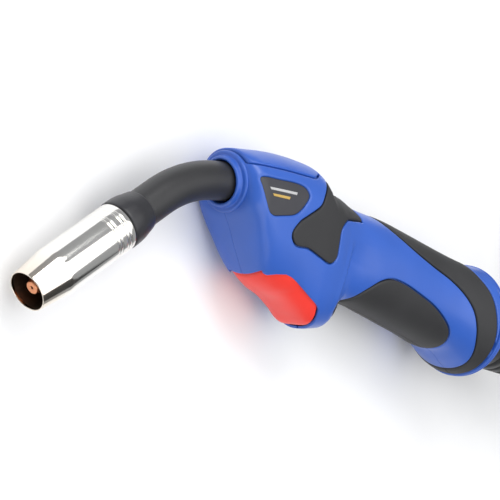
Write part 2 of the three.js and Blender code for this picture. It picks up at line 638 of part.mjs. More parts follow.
function cableLine() {
  const group = new THREE.Group();
  group.position.set(INNER_STRAIGHT + INNER_BEND_RADIUS * Math.sin(INNER_BEND),
    -INNER_BEND_RADIUS * (1 - Math.cos(INNER_BEND)), 0);
  group.rotation.z = -INNER_BEND;
  return group;
}

function neckNut() {
  return turnedTube([[7.4, 0.4], [8, 1], [8, 12.6], [7.4, 13.2]], 2.6, 6);
}

function cableConnector() {
  return turnedTube([[5.6, 13.5], [5.6, 18], [7, 18], [7, CONNECTOR_LENGTH]], 2.4, 20);
}

function innerCable() {
  return turned([[0, CONNECTOR_LENGTH + GAP], [CABLE_RADIUS - 0.2, CONNECTOR_LENGTH + GAP],
    [CABLE_RADIUS - 0.2, INNER_CABLE_END], [0, INNER_CABLE_END]], 12);
}

function lockRing() {
  const { radius, bore, length } = LOCK_RING;
  const end = GAP + length;
  const profile = [[radius - 0.8, GAP], [radius, 0.8], [radius, 1.9], [radius - 0.6, 2.2], [radius - 0.6, 2.7],
    [radius, 3], [radius, end - 0.7], [radius - 1, end]];
  return turnedTube(profile, bore, 32).rotateZ(FLANGE_SLOPE).translate(FLANGE.x, FLANGE.y, 0);
}

function cableSupport() {
  const { ballRadius, ballAt, coneStart, coneRadius, end, endRadius } = SUPPORT;
  const ballTo = (s) => [Math.sqrt(ballRadius ** 2 - (s - ballAt) ** 2), s];
  const cone = (s) => THREE.MathUtils.mapLinear(s, coneStart, end, coneRadius, endRadius);
  const profile = [148, 152, 156, 160, 164, 166.6].map(ballTo);
  profile.push([coneRadius, coneStart]);
  const grooves = 5;
  for (let i = 0; i < grooves; i++) {
    const s = 180 + 8 * i;
    profile.push([cone(s), s], [cone(s) - 1.2, s + 0.5], [cone(s) - 1.5, s + 2], [cone(s + 2.5), s + 2.5]);
  }
  profile.push([endRadius + 0.2, end - 0.8], [endRadius - 0.6, end]);
  return turnedTube(profile, CABLE_RADIUS + GAP, 20);
}

// ---------------------------------------------------------------- power cable and coil
function cableTube(route, radius = CABLE_RADIUS) {
  const points = route.map(([x, y, z]) => new THREE.Vector3(x, y, z));
  return swept(curveThrough(points), radius, route.length + 1, CABLE_SIDES);
}

// Section of the coil: distance from its centre and height, counter-clockwise.
function coilSection() {
  const { inner, outer, step, bottom, shoulder, top } = COIL;
  const r = 4; // rounded corners
  return [[inner + r, bottom], [outer - r, bottom], [outer, bottom + r], [outer, shoulder],
    [outer - step, top - r], [outer - step - r, top], [inner + step + r, top], [inner + step, top - r],
    [inner, shoulder], [inner, bottom + r]].map(([x, z]) => new THREE.Vector2(x, z));
}

function ringOf(outline) {
  const closed = [...outline, outline[0]];
  return solid(new THREE.LatheGeometry(closed, 36).rotateX(Math.PI / 2)
    .translate(COIL.centre[0], COIL.centre[1], 0));
}

function coil() {
  const ring = ringOf(coilSection());
  const grooves = [CABLE_ROUTE, LEAD_ROUTE].map((route) => solid(cableTube(route, CABLE_RADIUS + GAP)));
  return largestOf(ring.subtract(grooves[0]).subtract(grooves[1]));
}

function coilTie(angle) {
  const band = ringOf(grown(coilSection(), GAP + TIE.thickness)).subtract(ringOf(grown(coilSection(), GAP)));
  const slice = block(0, COIL.outer + WIDE, -TIE.width / 2, TIE.width / 2, -1, WIDE)
    .rotateZ(degrees(angle)).translate(COIL.centre[0], COIL.centre[1], 0);
  return largestOf(band.intersect(solid(slice)));
}

function cablePieces() {
  return [
    node("power_cable", cableTube(CABLE_ROUTE), CABLE_RUBBER),
    node("power_cable_coil", coil(), CABLE_RUBBER),
    node("power_cable_lead", cableTube(LEAD_ROUTE), CABLE_RUBBER),
    ...TIE.angles.map((angle, i) => node(`coil_tie_${i + 1}`, coilTie(angle), SOFT_BLACK)),
  ];
}

// ---------------------------------------------------------------- plug
function plugSupport() {
  return turnedTube([[9.6, 0], [10.4, 2], [10, 30], [13.6, 56], [13.6, PLUG.supportEnd]], CABLE_RADIUS + GAP, 20);
}

function plugHousing(side) {
  const { housingStart, housingEnd } = PLUG;
  const outside = solid(turned([[0, housingStart], [14.5, housingStart], [17.6, 66], [19.4, 76], [19.4, 104],
    [17, housingEnd], [0, housingEnd]], 24));
  const inside = solid(turned([[0, 56], [10.4, 56], [10.4, 76], [15.4, 77.6], [15.4, 92.4], [12.4, 92.4],
    [12.4, 120], [0, 120]], 20));
  const half = solid(block(50, 130, side > 0 ? GAP / 2 : -WIDE, side > 0 ? WIDE : -GAP / 2, -WIDE, WIDE));
  let body = outside.subtract(inside).intersect(half);
  for (const x of PLUG_SCREWS.places) body = body.subtract(solid(plugScrew(x, GAP)));
  return largestOf(body);
}

function plugScrew(x, grow = 0) {
  const { radius, half, height } = PLUG_SCREWS;
  const bolt = new THREE.CylinderGeometry(radius + grow, radius + grow, 2 * (half + grow), 8);
  return bolt.translate(x, 0, height);
}

function plugPinPlaces() {
  return [1, -1].map((side) => [PLUG_PIN.offset * Math.cos(side * PLUG_PIN.spread),
    PLUG_PIN.offset * Math.sin(side * PLUG_PIN.spread)]);
}

function plugPin([y, z], grow = 0) {
  const { radius, tail, tip } = PLUG_PIN;
  return turned([[0, tail - 12 * grow], [radius + grow, tail - 12 * grow], [radius + grow, tip - 1.2],
    [1.2, tip + 20 * grow], [0, tip + 20 * grow]], 12).translate(0, y, z);
}

function plugBody() {
  const { bodyStart, bodyEnd, bodyRadius, nippleRadius } = PLUG;
  let body = solid(turned([[0, bodyStart], [15, bodyStart], [15, 92], [bodyRadius, 92],
    [bodyRadius, bodyEnd - 0.6], [bodyRadius - 0.6, bodyEnd], [0, bodyEnd]], 24));
  const bore = nippleRadius + GAP;
  body = body.subtract(solid(turned([[0, 60], [bore, 60], [bore, 150], [0, 150]], 16)));
  for (const place of plugPinPlaces()) body = body.subtract(solid(plugPin(place, GAP)));
  return body;
}

function plugNut() {
  const { nutRadius, nutStart, nutEnd, bodyRadius } = PLUG;
  let nut = solid(turned([[bodyRadius + 0.4, nutStart], [nutRadius - 1.6, nutStart], [nutRadius, nutStart + 1.6],
    [nutRadius, nutEnd - 2], [nutRadius - 1.4, nutEnd], [18.4, nutEnd], [18.4, 126], [17, 122],
    [bodyRadius + 0.4, 122], [bodyRadius + 0.4, nutStart]], 36));
  const grips = 12;
  for (let i = 0; i < grips; i++) {
    const groove = new THREE.CylinderGeometry(2.2, 2.2, 22, 8).rotateZ(Math.PI / 2)
      .translate(127, nutRadius + 0.9, 0).rotateX(((i + 0.5) / grips) * Math.PI * 2);
    nut = nut.subtract(solid(groove));
  }
  return nut;
}

function plugNipple() {
  const { nippleRadius, nippleEnd } = PLUG;
  return turned([[1.6, 74], [nippleRadius, 74], [nippleRadius, 146], [4.1, 146], [4.1, 149.4],
    [nippleRadius, 149.4], [nippleRadius, nippleEnd - 0.8], [4.2, nippleEnd], [1.6, nippleEnd], [1.6, 74]], 18);
}

function plugRing() {
  return new THREE.TorusGeometry(5, 0.65, 8, 20).rotateY(Math.PI / 2).translate(147.7, 0, 0);
}

function plugPieces() {
  return [
    node("plug_cable_support", plugSupport(), BLACK_PLASTIC),
    node("plug_housing_upper", plugHousing(1), BLACK_PLASTIC),
    node("plug_housing_lower", plugHousing(-1), BLACK_PLASTIC),
    ...PLUG_SCREWS.places.map((x, i) => node(`plug_screw_${i + 1}`, plugScrew(x), STEEL)),
    node("plug_body", plugBody(), BRASS),
    node("plug_union_nut", plugNut(), BLACK_PLASTIC),
    node("plug_gas_nipple", plugNipple(), BRASS),
    node("plug_o_ring", plugRing(), SOFT_BLACK),
    ...plugPinPlaces().map((place, i) => node(`plug_pin_${i + 1}`, plugPin(place), BRASS)),
  ];
}

// ---------------------------------------------------------------- assembly
const torch = new THREE.Group();
torch.position.copy(TORCH_PLACE);
torch.rotation.y = -TORCH_LEAN;
torch.add(...handlePieces(), ...triggerPieces(), ...neckPieces());
torch.add(node("rear_lock_ring", lockRing(), BLUE));

const line = cableLine();
line.add(node("neck_nut", neckNut(), BRASS), node("cable_connector", cableConnector(), BRASS),
  node("inner_cable", innerCable(), CABLE_RUBBER), node("cable_support", cableSupport(), SOFT_BLACK));
torch.add(line);

const nose = noseGroup();
nose.add(node("gas_nozzle", gasNozzle(), CHROME), node("contact_tip", contactTip(), COPPER),
  node("tip_holder", tipHolder(), BRASS), node("gas_diffuser", gasDiffuser(), CERAMIC),
  node("nozzle_spring", nozzleSpring(), STEEL), node("neck_collar", neckCollar(), BLACK_PLASTIC));
torch.add(nose);

const plug = new THREE.Group();
plug.position.copy(PLUG_PLACE);
plug.rotation.z = Math.PI / 2;
plug.add(...plugPieces());

const part = new THREE.Group();
part.add(torch, ...cablePieces(), plug);
export default part;
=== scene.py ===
import json
import math

import bpy
import numpy as np
from mathutils import Matrix, Vector


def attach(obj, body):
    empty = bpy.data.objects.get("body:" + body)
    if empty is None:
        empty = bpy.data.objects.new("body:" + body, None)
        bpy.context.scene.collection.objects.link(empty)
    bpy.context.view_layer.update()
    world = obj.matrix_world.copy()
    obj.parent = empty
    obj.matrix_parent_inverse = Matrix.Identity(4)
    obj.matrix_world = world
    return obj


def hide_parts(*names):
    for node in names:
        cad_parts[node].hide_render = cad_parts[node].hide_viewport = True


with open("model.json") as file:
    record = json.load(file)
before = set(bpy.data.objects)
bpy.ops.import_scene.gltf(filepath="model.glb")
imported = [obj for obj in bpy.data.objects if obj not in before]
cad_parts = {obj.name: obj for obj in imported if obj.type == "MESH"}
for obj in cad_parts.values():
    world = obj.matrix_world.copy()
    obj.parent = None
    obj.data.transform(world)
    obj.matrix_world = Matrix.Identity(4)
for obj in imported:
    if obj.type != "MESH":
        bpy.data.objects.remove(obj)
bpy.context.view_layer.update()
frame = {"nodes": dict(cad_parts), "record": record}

# ---------------------------------------------------------------- driving dimensions, in mm
# The torch's own axes: x from the nozzle towards the cable, y its own up, z out of its left side.
# It lies on its right side, with a slight lean. Its zero is the centre of the neck port.
TORCH_PLACE = np.array([-60.5, 46.2, 20.5])
TORCH_LEAN = math.radians(2.56)

# Camera: where the nozzle's direction and the torch's own up point, and where the port stands from
# the camera, all as the viewer sees them (right, up, towards the viewer), and the lens
FORWARD_IN_VIEW = (-0.676, -0.035, 0.736)
UP_IN_VIEW = (0.014, 0.998, 0.060)
PORT_IN_VIEW = (-11.0, 30.2, -900.0)
LENS = 147.24

# Handle, as curves of x, the same as the CAD's: its top and bottom, and the beam between them where
# it is widest. A section is a superellipse of one power above the beam and another below it.
HANDLE_END = 182
CREST = [[0, 15], [20, 13.5], [45, 8.4], [50, 6.2], [52.6, 3], [55.2, -3], [57.6, -4.4], [61, -5],
         [67, -6.6], [70, -7.9], [76, -11], [80, -12.6], [103, -19.2], [120, -25.4], [144, -34.4],
         [160, -40.2], [170, -43.2], [182, -45]]
BEAM = [[0, -7], [20, -9], [45, -14], [60, -19], [76, -30], [95, -39], [120, -48.5], [145, -61],
        [158, -68], [170, -71.6], [182, -73]]
KEEL = [[0, -14.2], [3, -20], [7, -30], [14, -44.2], [22, -50.8], [31, -56.6], [40, -63.4], [47, -68],
        [58, -68.4], [64, -65], [68.5, -60], [73, -57.4], [82, -58.8], [97, -64.2], [113, -70.6],
        [128, -76.6], [141, -82.2], [150, -85.4], [158, -91.8], [165, -97], [174, -100.4], [182, -100.8]]
HALF_WIDTH = [[0, 20.6], [20, 20.8], [45, 20.5], [58, 19.3], [68, 17], [78, 16.2], [90, 16.8],
              [110, 18.2], [132, 19.6], [147, 21.4], [160, 24.6], [170, 26.6], [182, 27.6]]
KEEL_POWER = [[0, 2.1], [14, 2.2], [46, 2.7], [62, 2.7], [76, 2.3], [182, 2.1]]
CREST_POWER = 2.3
FRONT_ROUNDING = {"side": 8, "crest": 2.4, "keel": 1}
FLANGE = np.array([172.4, -71.7])
FLANGE_SLOPE = math.radians(-8)

# The crease behind the head, from the front grip's corner down to the keel: a raised lip, then a
# quick drop over the ramp and a slow run-out over the reach. It fades at both ends.
CREASE = {"top": (68.3, -31.4), "bottom": (60.6, -54.5), "depth": 2.6, "ramp": 2.4, "reach": 26,
          "lip": 0.7, "lip_ahead": 1, "lip_width": 1.8, "fade_in": 10, "fade_out": 9}

# Outlines in the side view: grips, badge, top cover, and the trigger with its window in the shell
FRONT_PAD = [[57, 8], [52, 1], [46, -6], [42, -11], [34.5, -14.6], [27, -18.2], [23, -23],
             [25.6, -28], [34, -30], [42, -34], [50, -37.4], [54.4, -35], [56, -29], [58, -22],
             [63.4, -18.2], [71, -18.3], [76, -18.6], [79.6, -19], [79.8, -17.4], [77.4, -13],
             [75, -6], [73, 2], [67, 8]]
LOWER_PAD = [[62, -56.6], [70, -57], [78, -55.6], [84.6, -51.4], [91, -47.8], [98, -46.8],
             [107, -49.4], [118, -54.8], [129, -61], [137, -67.4], [142.4, -73], [145.6, -78.6],
             [146.6, -84.4], [144.4, -89.6], [138, -92.6], [125, -91], [113, -87], [98, -80], [80, -71],
             [64, -65]]
REAR_PAD = [[88, -3], [92, -13.6], [97, -18.8], [102, -23.2], [109, -28.6], [118, -35], [129, -41.8],
            [141, -48.8], [149.6, -56], [155, -64], [157.6, -73], [159, -79], [161, -85.6],
            [162.4, -91], [163, -97], [164, -104], [167, -104], [168.4, -96], [168.8, -90],
            [169.6, -84], [170, -76], [169.6, -68], [168.2, -57], [165, -49], [160, -38], [149, -26],
            [120, -10], [98, -3]]
BADGE = [[4.6, 2.9], [16, 1.5], [29, -0.9], [33.2, -3.2], [34.4, -6.2], [31.6, -10], [26.8, -13.6],
         [23.4, -14.7], [16, -14.9], [10.6, -14.7], [7.8, -13], [5.6, -8], [3.9, -0.6], [3.6, 1.8]]
TOP_COVER = [[0.4, 26], [1.2, 8.8], [20, 5.8], [42, 1.6], [47.5, 3.2], [54, 26]]
WINDOW = [[-4, -46], [10, -45.6], [11.8, -43.4], [12.6, -40.6], [13.5, -39.2], [14.4, -41],
          [16, -41.8], [19.5, -41.4], [24.3, -41.6], [27.6, -43], [31, -45.2], [34.3, -47.8],
          [40.4, -52.6], [44.6, -55.8], [47.6, -58.7], [49.2, -64], [49.4, -80], [-4, -80]]
TRIGGER = [[6, -46.4], [11, -46], [14.2, -42.6], [15.4, -39], [27, -39], [38, -44.6], [43.4, -50.4],
           [46.6, -56.6], [47.7, -61], [47.7, -76], [6, -76]]
# The blade's power is higher than the handle's, so that its face meets its sides in a soft crease
TRIGGER_POWER = [[8, 2.1], [14, 2.15], [22, 2.6], [30, 3], [50, 3.1]]
FINGER_HOLLOW = {"middle": 34, "width": 10, "depth": 1.5, "top": -44, "fade": 7}
TRIGGER_CORNER = {"lift": 2.2, "top": -59, "fade": 6, "half_width": 15}

# Two plain raised stripes on the badge: where each starts and ends in x, and its upper left corner
BADGE_BARS = [(8, 26, -1.6), (9.6, 21, -4.6)]
BAR = {"slope": -0.16, "height": 1.2}

# How pieces sit in the handle's surface: how far in, the rounding of the edge, the depth of its wall
SHELL_FIT = {"inset": 0, "edge": 0.6, "wall": 1.2}
COVER_FIT = {"inset": 0, "edge": 0.6, "wall": 1.5}
PAD_FIT = {"inset": -0.2, "edge": 0.7, "wall": 1.5}
PAD_FLOOR_FIT = {"inset": 1.65, "edge": 0.1, "wall": 1.2}
BADGE_FIT = {"inset": 0.75, "edge": 0.3, "wall": 0.7}
BAR_FIT = {"inset": 0.5, "edge": 0.15, "wall": 0.35}
TRIGGER_FIT = {"inset": 1.6, "edge": 0.8, "wall": 6, "keel_power": TRIGGER_POWER}

# Dark lines between the pieces
GRIP_GAP = 0.4  # how far the shell keeps off a grip's outline; the grip keeps off by half of it
COVER_GAP = {"shell": 0.5, "cover": 0.3}
BADGE_GAP = 0.12
SEAM_GAP = {"shell": 0.03, "grip": 0.05, "floor": 0.06}  # half the parting line in the middle
# Distances count more at the seam, so that its edges stay sharper, and less round the badge
SEAM_SHARPNESS = {"shell": 8, "grip": 3}
BADGE_SOFTNESS = 0.45
FLOOR_CLEARANCE = {"window": 5, "front": 2}
PATCH_MARGIN = 2  # how far a patch reaches past the outline that is cut out of it

# Neck, nozzle and rear end
PORT_TILT = math.radians(4)
PORT_STRAIGHT = 7.4
NECK_BEND_RADIUS = 66
NOZZLE_SLOPE = math.radians(26.5)
SLEEVE_RADIUS = 8.7
NECK_TUBE_RADIUS = 4.8
# The radii of the port's bore and of its sleeve inside the shell, the sleeve's end, and the corners of
# its steps, each as (radius, distance along the port's axis)
PORT_RING = {"bore": 9.6, "sleeve": 11.3, "rear": 5, "nose": (10.4, -3.6), "step": (12.1, -1),
             "edge": (13.8, 0)}
# Distances of the nozzle's pieces are from the end of the neck's bend
COLLAR = {"start": 12.6, "end": 26.7, "bore": 5.4, "rear": 9.5, "front": 11.2, "spigot": 7.7,
          "spigot_end": 34.9, "flare": [(9.8, 14.4), (10.2, 16.5), (10.8, 19), (11.1, 21.4), (11.2, 24.6)]}
NOZZLE = {"start": 27, "shoulder": 67, "end": 82.1, "radius": 11, "mouth": 9.1, "lip": 8.5, "bore": 9.5,
          "grooves": (2.6, 4.5, 8.2, 10.1), "groove_depth": 0.45}
TIP = {"start": 54, "taper": 74.4, "end": 79.2, "radius": 4, "face": 2.7, "wire_hole": 0.65}
LOCK_RING = {"radius": 28.2, "bore": 21.4, "start": 0.3, "end": 3.9, "groove_depth": 0.7}
INNER_BEND = {"straight": 8, "radius": 60, "angle": math.radians(24.5)}
SUPPORT = {"start": 148, "ball": 20.2, "ball_at": 160, "ball_end": 166.6, "cone_start": 169.4,
           "cone_radius": 20, "end": 223, "end_radius": 10.5, "grooves": 5, "first_groove": 180,
           "groove_pitch": 8}

# Power cable in metres, in the frame of the part, the same route as the CAD's. Its first point lies
# inside the handle, and the visible cable starts at the second.
CABLE_DIAMETER = 0.016
CABLE_ROUTE = [[0.1672, -0.0481, 0.0307], [0.1751, -0.0517, 0.031], [0.1887, -0.0579, 0.0309],
               [0.2024, -0.0641, 0.0286], [0.216, -0.0703, 0.0242], [0.2297, -0.0765, 0.0185],
               [0.2433, -0.0828, 0.0132], [0.2524, -0.0869, 0.0107]]
LEAD_ROUTE = [[0.3917, 0.0068, 0.0254], [0.3787, 0.0424, 0.029], [0.3511, 0.0682, 0.0365],
              [0.3165, 0.0799, 0.043], [0.2809, 0.0774, 0.0434], [0.2494, 0.061, 0.0434],
              [0.2278, 0.0329, 0.0434], [0.2201, -0.0018, 0.0434], [0.2278, -0.0365, 0.0434],
              [0.2494, -0.0646, 0.0434], [0.2715, -0.082, 0.0434], [0.298, -0.0945, 0.043],
              [0.33, -0.0995, 0.037], [0.365, -0.0995, 0.0305], [0.3879, -0.0955, 0.0255],
              [0.4081, -0.0838, 0.022], [0.423, -0.066, 0.0206], [0.431, -0.0441, 0.0213],
              [0.432, -0.03, 0.0221], [0.432, -0.005, 0.0221], [0.432, 0.024, 0.0221]]
COIL_CENTRE = (0.3021, -0.0018)
COIL_START = -114.5  # degrees
COIL_STEP = 7.5  # degrees between two points of a turn
# Turned angle from the start, radius and height: two and a half turns inwards on the floor, then one
# and a half outwards on top of them
COIL_TURNS = [(0, 0.098, 0.0096), (285, 0.098, 0.0096), (345, 0.082, 0.0096), (645, 0.082, 0.0096),
              (705, 0.066, 0.0096), (900, 0.066, 0.0096), (950, 0.067, 0.02), (985, 0.074, 0.0254),
              (1200, 0.074, 0.0254), (1260, 0.09, 0.0254), (1552.5, 0.09, 0.0254)]


# ---------------------------------------------------------------- frame
def to_row(points):
    """Points of the torch's own axes, in mm, as points of the part's frame, in metres."""
    p = np.asarray(points, float).reshape(-1, 3)
    c, s = math.cos(TORCH_LEAN), math.sin(TORCH_LEAN)
    turned = np.stack([c * p[:, 0] - s * p[:, 2], p[:, 1], s * p[:, 0] + c * p[:, 2]], axis=1)
    return (turned + TORCH_PLACE) / 1000


def add_camera():
    """The camera, from the torch's directions in the picture and the port's place in it."""
    forward = Vector(FORWARD_IN_VIEW).normalized()
    up = Vector(UP_IN_VIEW)
    up = (up - forward * up.dot(forward)).normalized()
    torch_axes_in_view = Matrix((-forward, up, up.cross(forward))).transposed()
    lean = Matrix.Rotation(-TORCH_LEAN, 3, "Y")
    turn = lean @ torch_axes_in_view.transposed()
    port = Vector(to_row([[0, 0, 0]])[0])
    camera = bpy.data.objects.new("camera", bpy.data.cameras.new("camera"))
    camera.data.lens = LENS
    camera.data.clip_start = 0.01
    place = port - turn @ (Vector(PORT_IN_VIEW) / 1000)
    camera.matrix_world = Matrix.Translation(place) @ turn.to_4x4()
    bpy.context.scene.collection.objects.link(camera)
    bpy.context.scene.camera = camera


# ---------------------------------------------------------------- curves
def along(pairs, x):
    """A curve through (x, value) pairs that keeps flat where neighbours turn round."""
    px, py = np.array(pairs, float).T
    rise = np.diff(py) / np.diff(px)
    before, after = rise[:-1], rise[1:]
    total = np.where(before * after > 0, before + after, 1)
    inner = np.where(before * after > 0, 2 * before * after / total, 0)
    slope = np.concatenate([[rise[0]], inner, [rise[-1]]])
    i = np.clip(np.searchsorted(px, x, side="right") - 1, 0, len(px) - 2)
    width = px[i + 1] - px[i]
    t = np.clip((x - px[i]) / width, 0, 1)
    smooth = t * t * (3 - 2 * t)
    bulge = width * t * (1 - t) * (slope[i] * (1 - t) - slope[i + 1] * t)
    return py[i] + (py[i + 1] - py[i]) * smooth + bulge


def spline(points, steps, closed=False):
    """A centripetal curve through the points, with that many steps between each two."""
    p = np.array(points, float)
    if closed:
        p = np.concatenate([p[-1:], p, p[:2]])
    else:
        p = np.concatenate([2 * p[:1] - p[1:2], p, 2 * p[-1:] - p[-2:-1]])
    drawn = []
    for a, b, c, d in zip(p, p[1:], p[2:], p[3:]):
        t1 = max(np.linalg.norm(b - a), 1e-9) ** 0.5
        t2 = t1 + max(np.linalg.norm(c - b), 1e-9) ** 0.5
        t3 = t2 + max(np.linalg.norm(d - c), 1e-9) ** 0.5
        for t in t1 + (t2 - t1) * np.arange(steps) / steps:
            ab = a + (b - a) * t / t1
            bc = b + (c - b) * (t - t1) / (t2 - t1)
            cd = c + (d - c) * (t - t2) / (t3 - t2)
            abc = ab + (bc - ab) * t / t2
            bcd = bc + (cd - bc) * (t - t1) / (t3 - t1)
            drawn.append(abc + (bcd - abc) * (t - t1) / (t2 - t1))
    if not closed:
        drawn.append(p[-2])
    return np.array(drawn)


def inside(points, outline):
    """How far points of the side view lie inside an outline; negative outside it."""
    found = []
    a, b = outline, np.roll(outline, -1, axis=0)
    edge = b - a
    for part in np.array_split(points, max(1, len(points) // 8000)):
        to = part[:, None] - a
        t = np.clip((to * edge).sum(2) / (edge * edge).sum(1), 0, 1)
        far = np.linalg.norm(to - edge * t[..., None], axis=2).min(1)
        over = (a[:, 1] > part[:, 1:2]) != (b[:, 1] > part[:, 1:2])
        rise = np.where(edge[:, 1] == 0, 1, edge[:, 1])
        crossing = a[:, 0] + edge[:, 0] * (part[:, 1:2] - a[:, 1]) / rise
        odd = (over & (part[:, 0:1] < crossing)).sum(1) % 2 == 1
        found.append(np.where(odd, far, -far))
    return np.concatenate(found)


# ---------------------------------------------------------------- handle surface
def front_inset(x, radius):
    """How far the handle's front edge is rounded off at x."""
    return radius - np.sqrt(radius ** 2 - np.clip(radius - x, 0, radius) ** 2)


def crease_depth(x, y):
    """How far the side lies below the plain handle at the crease; negative on its lip."""
    c = CREASE
    top, bottom = np.array(c["top"]), np.array(c["bottom"])
    length = np.linalg.norm(bottom - top)
    line = (bottom - top) / length
    behind = (x - top[0]) * -line[1] + (y - top[1]) * line[0]
    down = (x - top[0]) * line[0] + (y - top[1]) * line[1]
    drop = np.clip(behind / c["ramp"], 0, 1)
    drop = drop * drop * (3 - 2 * drop)
    back = np.clip(1 - behind / c["reach"], 0, 1)
    fade_in = np.clip(down / c["fade_in"] + 0.5, 0, 1)
    fade_out = np.clip((length - down) / c["fade_out"] + 1, 0, 1)
    lip = c["lip"] * np.exp(-((behind + c["lip_ahead"]) / c["lip_width"]) ** 2)
    return (c["depth"] * drop * back ** 1.5 - lip) * fade_in * fade_out


def surface(uv, inset=0.0, keel_power=None):
    """Points of the handle's surface: u is x, v the angle from the crest round the left side."""
    x, v = uv[:, 0], uv[:, 1]
    c, s = np.cos(v), np.sin(v)
    beam = along(BEAM, x)
    width = along(HALF_WIDTH, x) - front_inset(x, FRONT_ROUNDING["side"]) - inset
    crest = along(CREST, x) - front_inset(x, FRONT_ROUNDING["crest"]) - inset - beam
    keel = beam - along(KEEL, x) - front_inset(x, FRONT_ROUNDING["keel"]) - inset
    below = along(keel_power or KEEL_POWER, x)
    power = 2 / np.where(c >= 0, CREST_POWER, below)
    y = beam + np.where(c >= 0, crest, keel) * np.sign(c) * np.abs(c) ** power
    side = np.abs(s) ** power
    depth = crease_depth(x, y) * side if keel_power is None else 0
    return np.stack([x, y, (width * side - depth) * np.sign(s)], axis=1)


def patch(x0, x1, v0, v1, step_x, steps_v):
    """Triangles over a stretch of the surface, as (u, v) points and corners."""
    xs = np.linspace(x0, x1, int((x1 - x0) / step_x) + 2)
    if x0 == 0:
        # More rows where the handle's front edge is rounded
        xs = np.concatenate([[0, 0.1, 0.3, 0.6], xs[1:]])
    vs = np.linspace(v0, v1, steps_v + 1)
    uv = np.stack(np.meshgrid(xs, vs, indexing="ij"), axis=2).reshape(-1, 2)
    i = np.arange(len(xs) - 1)[:, None] * len(vs) + np.arange(steps_v)[None]
    i = i.ravel()
    a, b, c, d = i, i + 1, i + len(vs) + 1, i + len(vs)
    return uv, np.concatenate([np.stack([a, b, c], 1), np.stack([a, c, d], 1)])


def split(uv, corners, field, level):
    """Cuts triangles along the line where the field has that level."""
    value = field(uv) - level
    value = np.where(np.abs(value) < 1e-5, 1e-5, value)
    over = value > 0
    state = over[corners]
    mixed = state.any(1) & ~state.all(1)
    cut, state = corners[mixed], state[mixed]
    if not len(cut):
        return uv, corners
    lone = np.argmax(state == (state.sum(1) == 1)[:, None], axis=1)
    turned = cut[np.arange(len(cut))[:, None], (lone[:, None] + np.arange(3)) % 3]
    a, b, c = turned.T
    pairs = np.sort(np.concatenate([np.stack([a, b], 1), np.stack([a, c], 1)]), axis=1)
    edges, where = np.unique(pairs, axis=0, return_inverse=True)
    where = where.ravel()
    i, j = edges.T
    t = (value[i] / (value[i] - value[j]))[:, None]
    ab, ac = len(uv) + where[:len(a)], len(uv) + where[len(a):]
    new_points = uv[i] + (uv[j] - uv[i]) * t
    new = [np.stack(three, 1) for three in ((a, ab, ac), (ab, b, c), (ab, c, ac))]
    return np.concatenate([uv, new_points]), np.concatenate([corners[~mixed], *new])


def rounded(distance, radius):
    """How far the surface drops at that distance from a rounded edge."""
    near = np.clip(radius - distance, 0, radius)
    return radius - np.sqrt(radius ** 2 - near ** 2)


def skin(uv, corners, border, inset, edge, wall, keel_power=None):
    """The part of a patch inside its border, with a rounded edge and a wall going inwards."""
    for share in (0, 0.06, 0.25, 0.55, 1):
        uv, corners = split(uv, corners, border, share * edge)
    distance = border(uv)
    kept = corners[distance[corners].mean(1) > 0]
    used, kept = np.unique(kept, return_inverse=True)
    kept = kept.reshape(-1, 3)
    uv, distance = uv[used], np.maximum(distance[used], 0)
    points = surface(uv, inset + rounded(distance, edge), keel_power)
    sides = np.concatenate([kept[:, [0, 1]], kept[:, [1, 2]], kept[:, [2, 0]]])
    _, first, count = np.unique(np.sort(sides, axis=1), axis=0, return_index=True, return_counts=True)
    rim = sides[first[count == 1]]
    rim_points, rim = np.unique(rim, return_inverse=True)
    rim = rim.reshape(-1, 2)
    lower = surface(uv[rim_points], inset + wall, keel_power)
    a, b = rim_points[rim[:, 0]], rim_points[rim[:, 1]]
    c, d = rim[:, 0] + len(points), rim[:, 1] + len(points)
    walls = np.concatenate([np.stack([b, a, c], 1), np.stack([b, c, d], 1)])
    return np.concatenate([points, lower]), np.concatenate([kept, walls])


def joined(*parts):
    """Several pieces, each as points and corners, as one."""
    points, corners, start = [], [], 0
    for p, c in parts:
        points.append(p)
        corners.append(c + start)
        start += len(p)
    return np.concatenate(points), np.concatenate(corners)


# ---------------------------------------------------------------- objects
def add_mesh(name, points, corners, material, body="torch", replaces=(), sharp=40):
    """A smooth piece that rides on a body and stands for CAD nodes."""
    mesh = bpy.data.meshes.new(name)
    mesh.from_pydata(np.asarray(points).tolist(), [], np.asarray(corners).tolist())
    mesh.validate()
    mesh.polygons.foreach_set("use_smooth", [True] * len(mesh.polygons))
    mesh.set_sharp_from_angle(angle=math.radians(sharp))
    mesh.materials.append(material)
    obj = bpy.data.objects.new(name, mesh)
    bpy.context.scene.collection.objects.link(obj)
    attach(obj, body)
    if replaces:
        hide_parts(*replaces)
    return obj


def turned(profile, origin, direction, segments=96):
    """A lathed piece. The profile is a closed list of (radius, distance along its axis)."""
    d = np.array([*direction, 0.0])
    across = np.array([-d[1], d[0], 0.0])
    out = np.array([0.0, 0.0, 1.0])
    start = np.array([*origin, 0.0])
    rings = []
    for angle in np.linspace(0, 2 * math.pi, segments, endpoint=False):
        ray = math.cos(angle) * across + math.sin(angle) * out
        rings.append([start + s * d + r * ray for r, s in profile])
    points = np.array(rings).reshape(-1, 3)
    n = len(profile)
    quads = []
    for i in range(segments):
        j = (i + 1) % segments
        for k in range(n):
            m = (k + 1) % n
            quads.append([i * n + k, j * n + k, j * n + m, i * n + m])
    return to_row(points), quads


